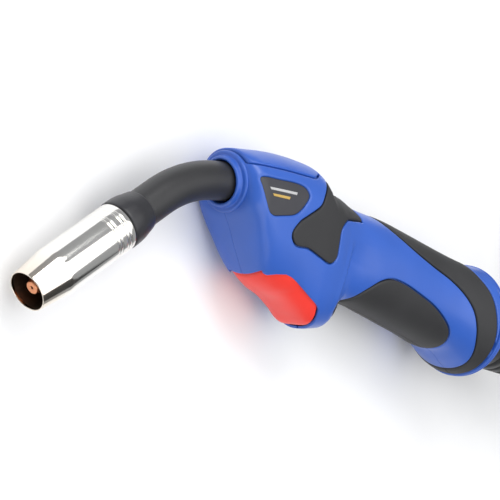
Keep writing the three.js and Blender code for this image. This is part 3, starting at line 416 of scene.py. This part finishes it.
def swept(path, radius, sides=56, bore=0.0):
    """A tube along a path that lies in the torch's middle plane, with closed ends."""
    p = np.array(path, float)
    tangent = np.gradient(p, axis=0)
    tangent /= np.linalg.norm(tangent, axis=1)[:, None]
    normal = np.stack([-tangent[:, 1], tangent[:, 0]], axis=1)
    angle = np.linspace(0, 2 * math.pi, sides, endpoint=False)
    rings = []
    for r in (radius, bore):
        flat = p[:, None] + normal[:, None] * (r * np.cos(angle))[None, :, None]
        z = np.broadcast_to(r * np.sin(angle), flat.shape[:2])
        rings.append(np.concatenate([flat, z[..., None]], axis=2))
    points = np.concatenate([rings[0].reshape(-1, 3), rings[1].reshape(-1, 3)])
    count = len(p)
    quads = []
    for i in range(sides):
        j = (i + 1) % sides
        for k in range(count - 1):
            a, b = k * sides, (k + 1) * sides
            quads.append([a + i, a + j, b + j, b + i])
            a, b = a + count * sides, b + count * sides
            quads.append([a + j, a + i, b + i, b + j])
        for k in (0, count - 1):
            a, b = k * sides, (k + count) * sides
            quads.append([a + i, b + i, b + j, a + j])
    return to_row(points), quads


# ---------------------------------------------------------------- materials
MOTTLE_SCALE = 38  # of the broad colour changes
GLOSS_SPREAD = 0.14  # share by which the roughness varies
GRAIN_HEIGHT = 0.0004  # metres


def look(name, color, roughness, metallic=0.0, tint=0.12, grain=900, bump=0.05, coat=0.0, heat=None):
    """A plastic, rubber or metal with mottled colour, uneven gloss and a fine grain.

    The tint is the share by which the colour varies, the grain the scale of the fine bumps.
    """
    made = bpy.data.materials.new(name)
    made.use_nodes = True
    tree = made.node_tree
    shader = tree.nodes["Principled BSDF"]
    shader.inputs["Metallic"].default_value = metallic
    shader.inputs["Coat Weight"].default_value = coat
    shader.inputs["Coat Roughness"].default_value = 0.25
    place = tree.nodes.new("ShaderNodeTexCoord")
    broad = tree.nodes.new("ShaderNodeTexNoise")
    broad.inputs["Scale"].default_value = MOTTLE_SCALE
    broad.inputs["Detail"].default_value = 6
    fine = tree.nodes.new("ShaderNodeTexNoise")
    fine.inputs["Scale"].default_value = grain
    fine.inputs["Detail"].default_value = 4
    tree.links.new(place.outputs["Object"], broad.inputs["Vector"])
    tree.links.new(place.outputs["Object"], fine.inputs["Vector"])
    ramp = tree.nodes.new("ShaderNodeValToRGB")
    ramp.color_ramp.elements[0].position = 0.3
    ramp.color_ramp.elements[1].position = 0.7
    ramp.color_ramp.elements[0].color = [*(c * (1 - tint) for c in color), 1]
    ramp.color_ramp.elements[1].color = [*(min(1, c * (1 + tint)) for c in color), 1]
    tree.links.new(broad.outputs["Fac"], ramp.inputs["Fac"])
    tree.links.new(ramp.outputs["Color"], shader.inputs["Base Color"])
    gloss = tree.nodes.new("ShaderNodeMapRange")
    gloss.inputs["To Min"].default_value = roughness * (1 - GLOSS_SPREAD)
    gloss.inputs["To Max"].default_value = roughness * (1 + GLOSS_SPREAD)
    tree.links.new(broad.outputs["Fac"], gloss.inputs["Value"])
    tree.links.new(gloss.outputs["Result"], shader.inputs["Roughness"])
    relief = tree.nodes.new("ShaderNodeBump")
    relief.inputs["Strength"].default_value = bump
    relief.inputs["Distance"].default_value = GRAIN_HEIGHT
    tree.links.new(fine.outputs["Fac"], relief.inputs["Height"])
    tree.links.new(relief.outputs["Normal"], shader.inputs["Normal"])
    if heat:
        add_heat_tint(tree, shader, ramp, place, *heat)
    return made


def add_heat_tint(tree, shader, ramp, place, centre, radius, color):
    """Tints the metal round a point, such as the hot end of a nozzle."""
    away = tree.nodes.new("ShaderNodeVectorMath")
    away.operation = "DISTANCE"
    away.inputs[1].default_value = centre
    fade = tree.nodes.new("ShaderNodeMapRange")
    fade.inputs["From Min"].default_value = radius * 0.35
    fade.inputs["From Max"].default_value = radius
    fade.inputs["To Min"].default_value = 1.0
    fade.inputs["To Max"].default_value = 0.0
    mix = tree.nodes.new("ShaderNodeMix")
    mix.data_type = "RGBA"
    mix.inputs["B"].default_value = [*color, 1]
    tree.links.new(place.outputs["Object"], away.inputs[0])
    tree.links.new(away.outputs["Value"], fade.inputs["Value"])
    tree.links.new(fade.outputs["Result"], mix.inputs["Factor"])
    tree.links.new(ramp.outputs["Color"], mix.inputs["A"])
    tree.links.new(mix.outputs["Result"], shader.inputs["Base Color"])


# ---------------------------------------------------------------- neck and nozzle
def bend_point(slope):
    """The point of the neck's bend where its axis has that slope."""
    start = np.array([-PORT_STRAIGHT * math.cos(PORT_TILT), PORT_STRAIGHT * math.sin(PORT_TILT)])
    turn = np.array([-(math.sin(slope) + math.sin(PORT_TILT)), math.cos(slope) - math.cos(PORT_TILT)])
    return start + NECK_BEND_RADIUS * turn


NOSE_START = bend_point(NOZZLE_SLOPE)
NOSE_LINE = (-math.cos(NOZZLE_SLOPE), -math.sin(NOZZLE_SLOPE))
CABLE_START = (INNER_BEND["straight"] + INNER_BEND["radius"] * math.sin(INNER_BEND["angle"]),
               -INNER_BEND["radius"] * (1 - math.cos(INNER_BEND["angle"])))
CABLE_LINE = (math.cos(INNER_BEND["angle"]), -math.sin(INNER_BEND["angle"]))


def nose_point(s):
    """The point of the nozzle's axis at that distance from the end of the bend."""
    return NOSE_START + s * np.array(NOSE_LINE)


def arc(r0, s0, r1, s1, outward, steps=5):
    """Profile points of a quarter round between two places, bulging outwards or inwards."""
    found = []
    for t in np.linspace(0, math.pi / 2, steps + 1):
        a, b = (math.sin(t), 1 - math.cos(t)) if outward else (1 - math.cos(t), math.sin(t))
        found.append((r0 + (r1 - r0) * a, s0 + (s1 - s0) * b))
    return found


def add_neck_sleeve():
    """The bent rubber sleeve over the neck tube, from inside the port to inside the collar."""
    slopes = np.linspace(-PORT_TILT, NOZZLE_SLOPE, 48)
    path = [[6.5, 0], [0, 0], *[bend_point(a) for a in slopes], nose_point(COLLAR["start"] / 2),
            nose_point(COLLAR["start"] - 0.3)]
    points, quads = swept(path, SLEEVE_RADIUS, bore=NECK_TUBE_RADIUS + 0.6)
    add_mesh("neck_sleeve_smooth", points, quads, SLEEVE, replaces=["neck_sleeve"])


def add_port_ring():
    """The stepped ring round the neck where it goes into the handle."""
    g = PORT_RING
    (nose_r, nose_x), (step_r, step_x), (edge_r, edge_x) = g["nose"], g["step"], g["edge"]
    nose = [*arc(g["bore"], nose_x + 0.7, nose_r, nose_x, False),
            *arc(nose_r, nose_x, nose_r + 0.9, nose_x + 1, True), (step_r - 0.7, step_x - 0.5)]
    step = [*arc(step_r - 0.6, step_x - 0.3, step_r, step_x, False), (edge_r - 1, step_x),
            *arc(edge_r - 1, step_x, edge_r, edge_x, True), (edge_r - 0.1, edge_x + 0.5)]
    profile = [(g["bore"], g["rear"]), (g["bore"], nose_x + 0.7), *nose, *step,
               (g["sleeve"], edge_x + 0.6), (g["sleeve"], g["rear"])]
    points, quads = turned(profile, (0, 0), (1, 0))
    add_mesh("port_ring_smooth", points, quads, BLUE, replaces=["port_ring"])


def add_gas_nozzle():
    """The chromed nozzle, with four fine grooves at its rear and a bore whose dark colour is painted shade.
    """
    n = NOZZLE
    r = n["radius"]
    bottom = r - n["groove_depth"]

    def groove(s):
        return [(r, s - 0.25), (r, s), (r - 0.1, s + 0.1), (bottom, s + 0.3), (bottom, s + 0.8),
                (r - 0.1, s + 1), (r, s + 1.1), (r, s + 1.35)]

    rear = [(n["bore"], n["start"]), *arc(r - 0.7, n["start"], r, n["start"] + 0.7, True)]
    grooves = [point for s in n["grooves"] for point in groove(n["start"] + s)]
    shoulder = [(r, n["shoulder"] - 3), (r, n["shoulder"] - 1), (r - 0.05, n["shoulder"]),
                (r - 0.2, n["shoulder"] + 1), (r - 0.45, n["shoulder"] + 2.4)]
    mouth = [(n["mouth"] + 0.05, n["end"] - 0.8),
             *arc(n["mouth"], n["end"] - 0.5, n["mouth"] - 0.3, n["end"], False)]
    lip = [*arc(n["lip"] + 0.2, n["end"], n["lip"], n["end"] - 0.3, True)]
    bore = [(n["lip"], n["end"] - 1.2), (n["lip"], n["end"] - 7), (n["bore"], n["end"] - 20),
            (n["bore"], n["end"] - 22)]
    chromed = [*rear, *grooves, *shoulder, *mouth, *lip]
    profile = chromed + bore
    points, quads = turned(profile, NOSE_START, NOSE_LINE, 128)
    nozzle = add_mesh("gas_nozzle_smooth", points, quads, CHROME, "nozzle",
                      ["gas_nozzle"], 50)
    # The inner faces take the bore's dark colour, which is painted shade inside the nozzle
    nozzle.data.materials.append(PAINTED_SHADE_BORE)
    for i, face in enumerate(nozzle.data.polygons):
        face.material_index = int(i % len(profile) >= len(chromed))


def add_contact_tip():
    """The copper tip that the wire comes out of."""
    t = TIP
    hole = t["wire_hole"]
    shank_start = t["start"] - 5.7
    shank_radius = t["radius"] - 1
    profile = [(hole, shank_start), (shank_radius, shank_start), (shank_radius, t["start"]),
               (t["radius"] - 0.2, t["start"]), (t["radius"], t["start"] + 0.2),
               (t["radius"], t["taper"]), (t["face"] + 0.25, t["end"] - 0.3), (t["face"], t["end"]),
               (hole + 0.25, t["end"]), (hole, t["end"] - 0.25)]
    points, quads = turned(profile, NOSE_START, NOSE_LINE, 64)
    add_mesh("contact_tip_smooth", points, quads, COPPER, replaces=["contact_tip"])


def add_neck_collar():
    """The flared insulating collar behind the nozzle, with the spigot that the nozzle sits on."""
    c = COLLAR
    profile = [(c["bore"], c["start"]), *arc(c["rear"] - 0.6, c["start"], c["rear"], c["start"] + 0.6, True),
               *c["flare"], *arc(c["front"], c["end"] - 0.8, c["front"] - 0.6, c["end"], False),
               (c["spigot"], c["end"]), (c["spigot"], c["spigot_end"]), (c["bore"], c["spigot_end"])]
    points, quads = turned(profile, NOSE_START, NOSE_LINE)
    add_mesh("neck_collar_smooth", points, quads, BLACK, replaces=["neck_collar"])


# ---------------------------------------------------------------- rear end
def add_lock_ring():
    """The ring behind the handle, with a groove round its middle."""
    g = LOCK_RING
    r = g["radius"]
    bottom = r - g["groove_depth"]
    middle = (g["start"] + g["end"]) / 2
    groove = [(r, middle - 0.8), (r - 0.25, middle - 0.5), (bottom, middle - 0.25),
              (bottom, middle + 0.25), (r - 0.25, middle + 0.5), (r, middle + 0.8)]
    profile = [(g["bore"], g["start"]), *arc(r - 0.9, g["start"], r, g["start"] + 0.8, True), *groove,
               *arc(r, g["end"] - 1, r - 1.2, g["end"], False),
               (g["bore"] + 0.6, g["end"]), (g["bore"], g["end"] - 0.6)]
    line = (math.cos(FLANGE_SLOPE), math.sin(FLANGE_SLOPE))
    points, quads = turned(profile, FLANGE, line, 128)
    add_mesh("rear_lock_ring_smooth", points, quads, BLUE, replaces=["rear_lock_ring"])


def add_cable_support():
    """The ball in the lock ring and the grooved rubber cone that the cable leaves through."""
    g = SUPPORT
    bore = CABLE_DIAMETER * 1000 / 2 + 0.3
    profile = [(bore, g["start"])]
    for s in np.linspace(g["start"], g["ball_end"], 16):
        profile.append((math.sqrt(g["ball"] ** 2 - (s - g["ball_at"]) ** 2), s))
    profile += arc(profile[-1][0] + 0.2, g["cone_start"] - 1.2, g["cone_radius"], g["cone_start"], True)

    def cone(s):
        t = (s - g["cone_start"]) / (g["end"] - g["cone_start"])
        return g["cone_radius"] + (g["end_radius"] - g["cone_radius"]) * t

    for i in range(g["grooves"]):
        s = g["first_groove"] + g["groove_pitch"] * i
        profile += [(cone(s - 0.3), s - 0.3), (cone(s) - 0.25, s), (cone(s) - 1.3, s + 0.6),
                    (cone(s) - 1.5, s + 1.9), (cone(s + 2.4) - 0.25, s + 2.4), (cone(s + 2.8), s + 2.8)]
    profile += arc(cone(g["end"] - 1.2), g["end"] - 1.2, bore + 0.6, g["end"], False)
    profile.append((bore, g["end"]))
    points, quads = turned(profile, CABLE_START, CABLE_LINE, 96)
    add_mesh("cable_support_smooth", points, quads, RUBBER, replaces=["cable_support"])


# ---------------------------------------------------------------- handle pieces
pad_outlines = {name: spline(points, 8, True) for name, points in
                {"front": FRONT_PAD, "lower": LOWER_PAD, "rear": REAR_PAD}.items()}
badge_outline = spline(BADGE, 8, True)
cover_outline = np.array(TOP_COVER, float)
window_outline = np.array(WINDOW, float)
trigger_outline = np.array(TRIGGER, float)


def seen_from_side(uv, **options):
    """Points of the surface as x and y only."""
    return surface(uv, **options)[:, :2]


def before_flange(xy):
    """Distance in front of the handle's slanted rear end."""
    axis = np.array([math.cos(FLANGE_SLOPE), math.sin(FLANGE_SLOPE)])
    return (FLANGE - xy) @ axis


def shell_border(uv):
    """Distance from the nearest edge of a blue shell, negative where there is no shell."""
    points = surface(uv)
    xy = points[:, :2]
    edges = [-inside(xy, outline) - GRIP_GAP for outline in pad_outlines.values()]
    edges.append(-inside(xy, badge_outline) * BADGE_SOFTNESS)
    edges.append(-inside(xy, cover_outline) - COVER_GAP["shell"])
    edges.append(-inside(xy, window_outline))
    edges.append(before_flange(xy))
    edges.append((np.abs(points[:, 2]) - SEAM_GAP["shell"]) * SEAM_SHARPNESS["shell"])
    return np.min(edges, axis=0)


def pad_floor_border(uv):
    """The blue floor under the grips' gaps, clear of the trigger's window and of both ends."""
    points = surface(uv)
    xy = points[:, :2]
    edges = [-inside(xy, window_outline) - FLOOR_CLEARANCE["window"], before_flange(xy),
             xy[:, 0] - FLOOR_CLEARANCE["front"], np.abs(points[:, 2]) - SEAM_GAP["floor"]]
    return np.min(edges, axis=0)


def side_patch(side, x0, x1, steps_v=110, step_x=1.1):
    """A stretch of the handle's left side (1) or right side (-1)."""
    v0, v1 = (0, math.pi) if side > 0 else (math.pi, 2 * math.pi)
    return patch(x0, x1, v0, v1, step_x, steps_v)


def add_shell(side, name):
    """Half of the blue handle, cut out round its grips, badge, cover and trigger."""
    outer = skin(*side_patch(side, 0, HANDLE_END), shell_border, **SHELL_FIT)
    floor_patch = side_patch(side, FLOOR_CLEARANCE["front"], HANDLE_END, 64, 2)
    floor = skin(*floor_patch, pad_floor_border, **PAD_FLOOR_FIT)
    points, corners = joined(outer, floor)
    add_mesh(f"{name}_smooth", to_row(points), corners, BLUE, replaces=[name])


def add_pad(side, which):
    """A soft grip in its recess."""
    outline = pad_outlines[which]
    x0 = outline[:, 0].min() - PATCH_MARGIN
    x1 = outline[:, 0].max() + PATCH_MARGIN

    def border(uv):
        points = surface(uv)
        seam = (np.abs(points[:, 2]) - SEAM_GAP["grip"]) * SEAM_SHARPNESS["grip"]
        return np.minimum(inside(points[:, :2], outline) - GRIP_GAP / 2, seam)

    points, corners = skin(*side_patch(side, x0, x1), border, **PAD_FIT)
    name = f"{which}_grip_pad_{'left' if side > 0 else 'right'}"
    add_mesh(f"{name}_smooth", to_row(points), corners, GRIP, replaces=[name])


def add_badge(side):
    """The plain grey plate on the side of the head."""
    def border(uv):
        return inside(seen_from_side(uv), badge_outline) - BADGE_GAP

    points, corners = skin(*side_patch(side, 1, 37, 160, 0.5), border, **BADGE_FIT)
    name = f"badge_plate_{'left' if side > 0 else 'right'}"
    add_mesh(f"{name}_smooth", to_row(points), corners, BADGE_GREY, replaces=[name])


def add_badge_bars(side):
    """A plain ornament on the badge: two raised stripes along its top edge."""
    for i, ((x0, x1, y), color) in enumerate(zip(BADGE_BARS, (PALE, AMBER))):
        end_y = y + BAR["slope"] * (x1 - x0)
        bar = np.array([[x0, y], [x1, end_y], [x1 - 0.6, end_y - BAR["height"]],
                        [x0 + 0.5, y - BAR["height"]]])

        def border(uv, bar=bar):
            return inside(seen_from_side(uv), bar)

        points, corners = skin(*side_patch(side, x0 - 1, x1 + 1, 420, 0.25), border, **BAR_FIT)
        name = f"badge_bar_{'left' if side > 0 else 'right'}_{i + 1}"
        add_mesh(name, to_row(points), corners, color)


def add_top_cover():
    """The cover along the top of the head."""
    def border(uv):
        return inside(seen_from_side(uv), cover_outline) - COVER_GAP["cover"]

    points, corners = skin(*patch(0, 54, -math.pi / 2, math.pi / 2, 0.9, 130), border, **COVER_FIT)
    add_mesh("top_cover_smooth", to_row(points), corners, BLUE, replaces=["top_cover"])


def add_trigger():
    """The red blade, with a finger hollow along its keel and its lower corners lifted."""
    def border(uv):
        face = seen_from_side(uv, inset=TRIGGER_FIT["inset"], keel_power=TRIGGER_POWER)
        return inside(face, trigger_outline)

    points, corners = skin(*patch(7, 50, math.pi * 0.45, math.pi * 1.55, 0.6, 200), border, **TRIGGER_FIT)
    h = FINGER_HOLLOW
    below = np.clip((h["top"] - points[:, 1]) / h["fade"], 0, 1)
    points[:, 1] += h["depth"] * below * np.exp(-((points[:, 0] - h["middle"]) / h["width"]) ** 2)
    k = TRIGGER_CORNER
    low = np.clip((k["top"] - points[:, 1]) / k["fade"], 0, 1)
    points[:, 1] -= k["lift"] * low * np.clip(np.abs(points[:, 2]) / k["half_width"], 0, 1) ** 2
    add_mesh("trigger_smooth", to_row(points), corners, RED, "trigger_lever", ["trigger"])


# ---------------------------------------------------------------- power cable
def cable_points():
    """The cable's whole route: to the coil, round its turns, and over it to the plug."""
    turns = np.array(COIL_TURNS)
    points = list(spline(CABLE_ROUTE[1:], 6)[:-1])
    for angle in np.arange(0, turns[-1, 0] + 0.1, COIL_STEP):
        k = min(np.searchsorted(turns[:, 0], angle, side="right") - 1, len(turns) - 2)
        t = (angle - turns[k, 0]) / (turns[k + 1, 0] - turns[k, 0])
        radius, height = turns[k, 1:] + (turns[k + 1, 1:] - turns[k, 1:]) * t * t * (3 - 2 * t)
        around = math.radians(COIL_START + angle)
        points.append([COIL_CENTRE[0] + radius * math.cos(around),
                       COIL_CENTRE[1] + radius * math.sin(around), height])
    points += list(spline(LEAD_ROUTE, 5))
    return np.array(points)


def add_power_cable():
    """The real turns of the cable, which CAD gives as three solids."""
    points = cable_points()
    curve = bpy.data.curves.new("power_cable_round", "CURVE")
    curve.dimensions = "3D"
    curve.bevel_depth = CABLE_DIAMETER / 2
    curve.bevel_resolution = 6
    curve.use_fill_caps = True
    line = curve.splines.new("POLY")
    line.points.add(len(points) - 1)
    line.points.foreach_set("co", np.c_[points, np.ones(len(points))].ravel())
    line.use_smooth = True
    curve.materials.append(CABLE)
    cable = bpy.data.objects.new("power_cable_round", curve)
    bpy.context.scene.collection.objects.link(cable)
    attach(cable, "torch")
    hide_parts("power_cable", "power_cable_coil", "power_cable_lead")


# ---------------------------------------------------------------- CAD pieces that stay as they are
def dress_cad_nodes():
    """Materials for the CAD nodes that stay visible, by the record's material slots."""
    looks = {"shell_blue": BLUE, "grip_black": RUBBER, "trigger_red": RED, "badge_grey": BADGE_GREY,
             "neck_rubber": SLEEVE, "black_plastic": BLACK, "cable_rubber": CABLE, "nozzle_chrome": CHROME,
             "tip_copper": COPPER, "brass": BRASS, "steel": STEEL, "ceramic": CERAMIC, "lead_red": LEAD}
    for entry in frame["record"]["subparts"]:
        obj = frame["nodes"][entry["node"]]
        obj.data.materials.clear()
        obj.data.materials.append(looks[entry["material_slot"]])
        obj.data.polygons.foreach_set("use_smooth", [True] * len(obj.data.polygons))
        obj.data.set_sharp_from_angle(angle=math.radians(35))


# ---------------------------------------------------------------- studio, in metres
FLOOR_REACH = 3
LIGHTS = {"overhead": {"place": (0.1, 0.1, 1.3), "target": (0.1, 0.1, 0), "size": 1.9, "power": 14},
          "key": {"place": (-0.25, 1.1, 0.95), "target": (0, 0, 0), "size": 0.8, "power": 9},
          "fill": {"place": (-0.8, -0.7, 0.8), "target": (0, 0, 0), "size": 1.0, "power": 4}}
DARK_CARD = {"x": (-0.2, 0.9), "y": -0.5, "z": (0.24, 1.1)}
WORLD = {"color": (0.95, 0.97, 1, 1), "strength": 0.36}


def add_stage_sheet(name, corners, material):
    """A flat sheet of the studio, which isn't part of the torch."""
    mesh = bpy.data.meshes.new(name)
    mesh.from_pydata(corners, [], [(0, 1, 2, 3)])
    mesh.materials.append(material)
    sheet = bpy.data.objects.new(name, mesh)
    bpy.context.scene.collection.objects.link(sheet)
    return sheet


def add_floor():
    """A plain pale floor."""
    r = FLOOR_REACH
    add_stage_sheet("floor", [(-r, -r, 0), (r, -r, 0), (r, r, 0), (-r, r, 0)],
                    look("floor", (0.97, 0.97, 0.975), 0.6, tint=0.01, grain=200, bump=0.01))


def add_light(name, place, target, size, power):
    """A round soft light that faces its target."""
    data = bpy.data.lights.new(name, "AREA")
    data.shape = "DISK"
    data.size = size
    data.energy = power
    light = bpy.data.objects.new(name, data)
    facing = (Vector(target) - Vector(place)).to_track_quat("-Z", "Y")
    light.matrix_world = Matrix.Translation(place) @ facing.to_matrix().to_4x4()
    bpy.context.scene.collection.objects.link(light)


def add_dark_card():
    """A dark card beside the torch, which only reflections show, for the edges of polished metal."""
    (x0, x1), y, (z0, z1) = DARK_CARD["x"], DARK_CARD["y"], DARK_CARD["z"]
    card = add_stage_sheet("dark_card", [(x0, y, z0), (x1, y, z0), (x1, y, z1), (x0, y, z1)],
                           look("dark_card", (0.03, 0.03, 0.03), 0.9, grain=30))
    card.visible_camera = False
    card.visible_diffuse = False
    card.visible_shadow = False


def add_studio():
    """Floor, lights, dark card and a faint even sky."""
    add_floor()
    for name, light in LIGHTS.items():
        add_light(name, **light)
    add_dark_card()
    world = bpy.data.worlds.new("studio")
    world.use_nodes = True
    world.node_tree.nodes["Background"].inputs["Color"].default_value = WORLD["color"]
    world.node_tree.nodes["Background"].inputs["Strength"].default_value = WORLD["strength"]
    bpy.context.scene.world = world
    bpy.context.scene.view_settings.view_transform = "Standard"


# ---------------------------------------------------------------- build
nozzle_mouth = tuple(to_row([[*nose_point(NOZZLE["end"]), 0]])[0])
BLUE = look("shell_blue", (0.03, 0.112, 0.5), 0.36, tint=0.05, bump=0.035, coat=0.1)
GRIP = look("grip_black", (0.026, 0.026, 0.028), 0.62, tint=0.15, grain=1500, bump=0.14)
RUBBER = look("support_black", (0.012, 0.012, 0.013), 0.5, tint=0.15, grain=1200, bump=0.1)
RED = look("trigger_red", (0.9, 0.04, 0.026), 0.42, tint=0.06, bump=0.03, coat=0.1)
BADGE_GREY = look("badge_grey", (0.042, 0.042, 0.05), 0.5, tint=0.1, bump=0.05)
SLEEVE = look("neck_rubber", (0.024, 0.024, 0.026), 0.42, tint=0.2, grain=1100, bump=0.16)
BLACK = look("black_plastic", (0.022, 0.022, 0.026), 0.36, tint=0.3, grain=800, bump=0.16)
CABLE = look("cable_rubber", (0.018, 0.018, 0.02), 0.6, tint=0.15, grain=1200, bump=0.12)
CHROME = look("nozzle_chrome", (0.9, 0.885, 0.85), 0.12, 1.0, tint=0.03, grain=700, bump=0.012,
              heat=(nozzle_mouth, 0.022, (0.8, 0.72, 0.62)))
# The bore's dark brown is painted shade for the inside of the nozzle
PAINTED_SHADE_BORE = look("nozzle_bore_painted_shade", (0.3, 0.22, 0.16), 0.38, 1.0, tint=0.3, grain=500, bump=0.2)
COPPER = look("tip_copper", (0.78, 0.33, 0.17), 0.3, 1.0, tint=0.12, bump=0.05)
BRASS = look("brass", (0.72, 0.52, 0.22), 0.3, 1.0, tint=0.08, bump=0.04)
STEEL = look("steel", (0.55, 0.56, 0.58), 0.32, 1.0, tint=0.08, bump=0.04)
CERAMIC = look("ceramic", (0.78, 0.73, 0.64), 0.6, tint=0.08, bump=0.06)
LEAD = look("lead_red", (0.45, 0.03, 0.02), 0.45, tint=0.08, bump=0.05)
PALE = look("badge_pale", (0.5, 0.5, 0.5), 0.4, tint=0.05, bump=0.03)
AMBER = look("badge_amber", (0.55, 0.36, 0.09), 0.4, tint=0.08, bump=0.03)

add_camera()
add_power_cable()
add_neck_sleeve()
add_port_ring()
add_gas_nozzle()
add_contact_tip()
add_neck_collar()
add_lock_ring()
add_cable_support()
add_shell(1, "handle_shell_left")
add_shell(-1, "handle_shell_right")
add_top_cover()
for pad_name in pad_outlines:
    add_pad(1, pad_name)
    add_pad(-1, pad_name)
for badge_side in (1, -1):
    add_badge(badge_side)
    add_badge_bars(badge_side)
add_trigger()
dress_cad_nodes()
add_studio()
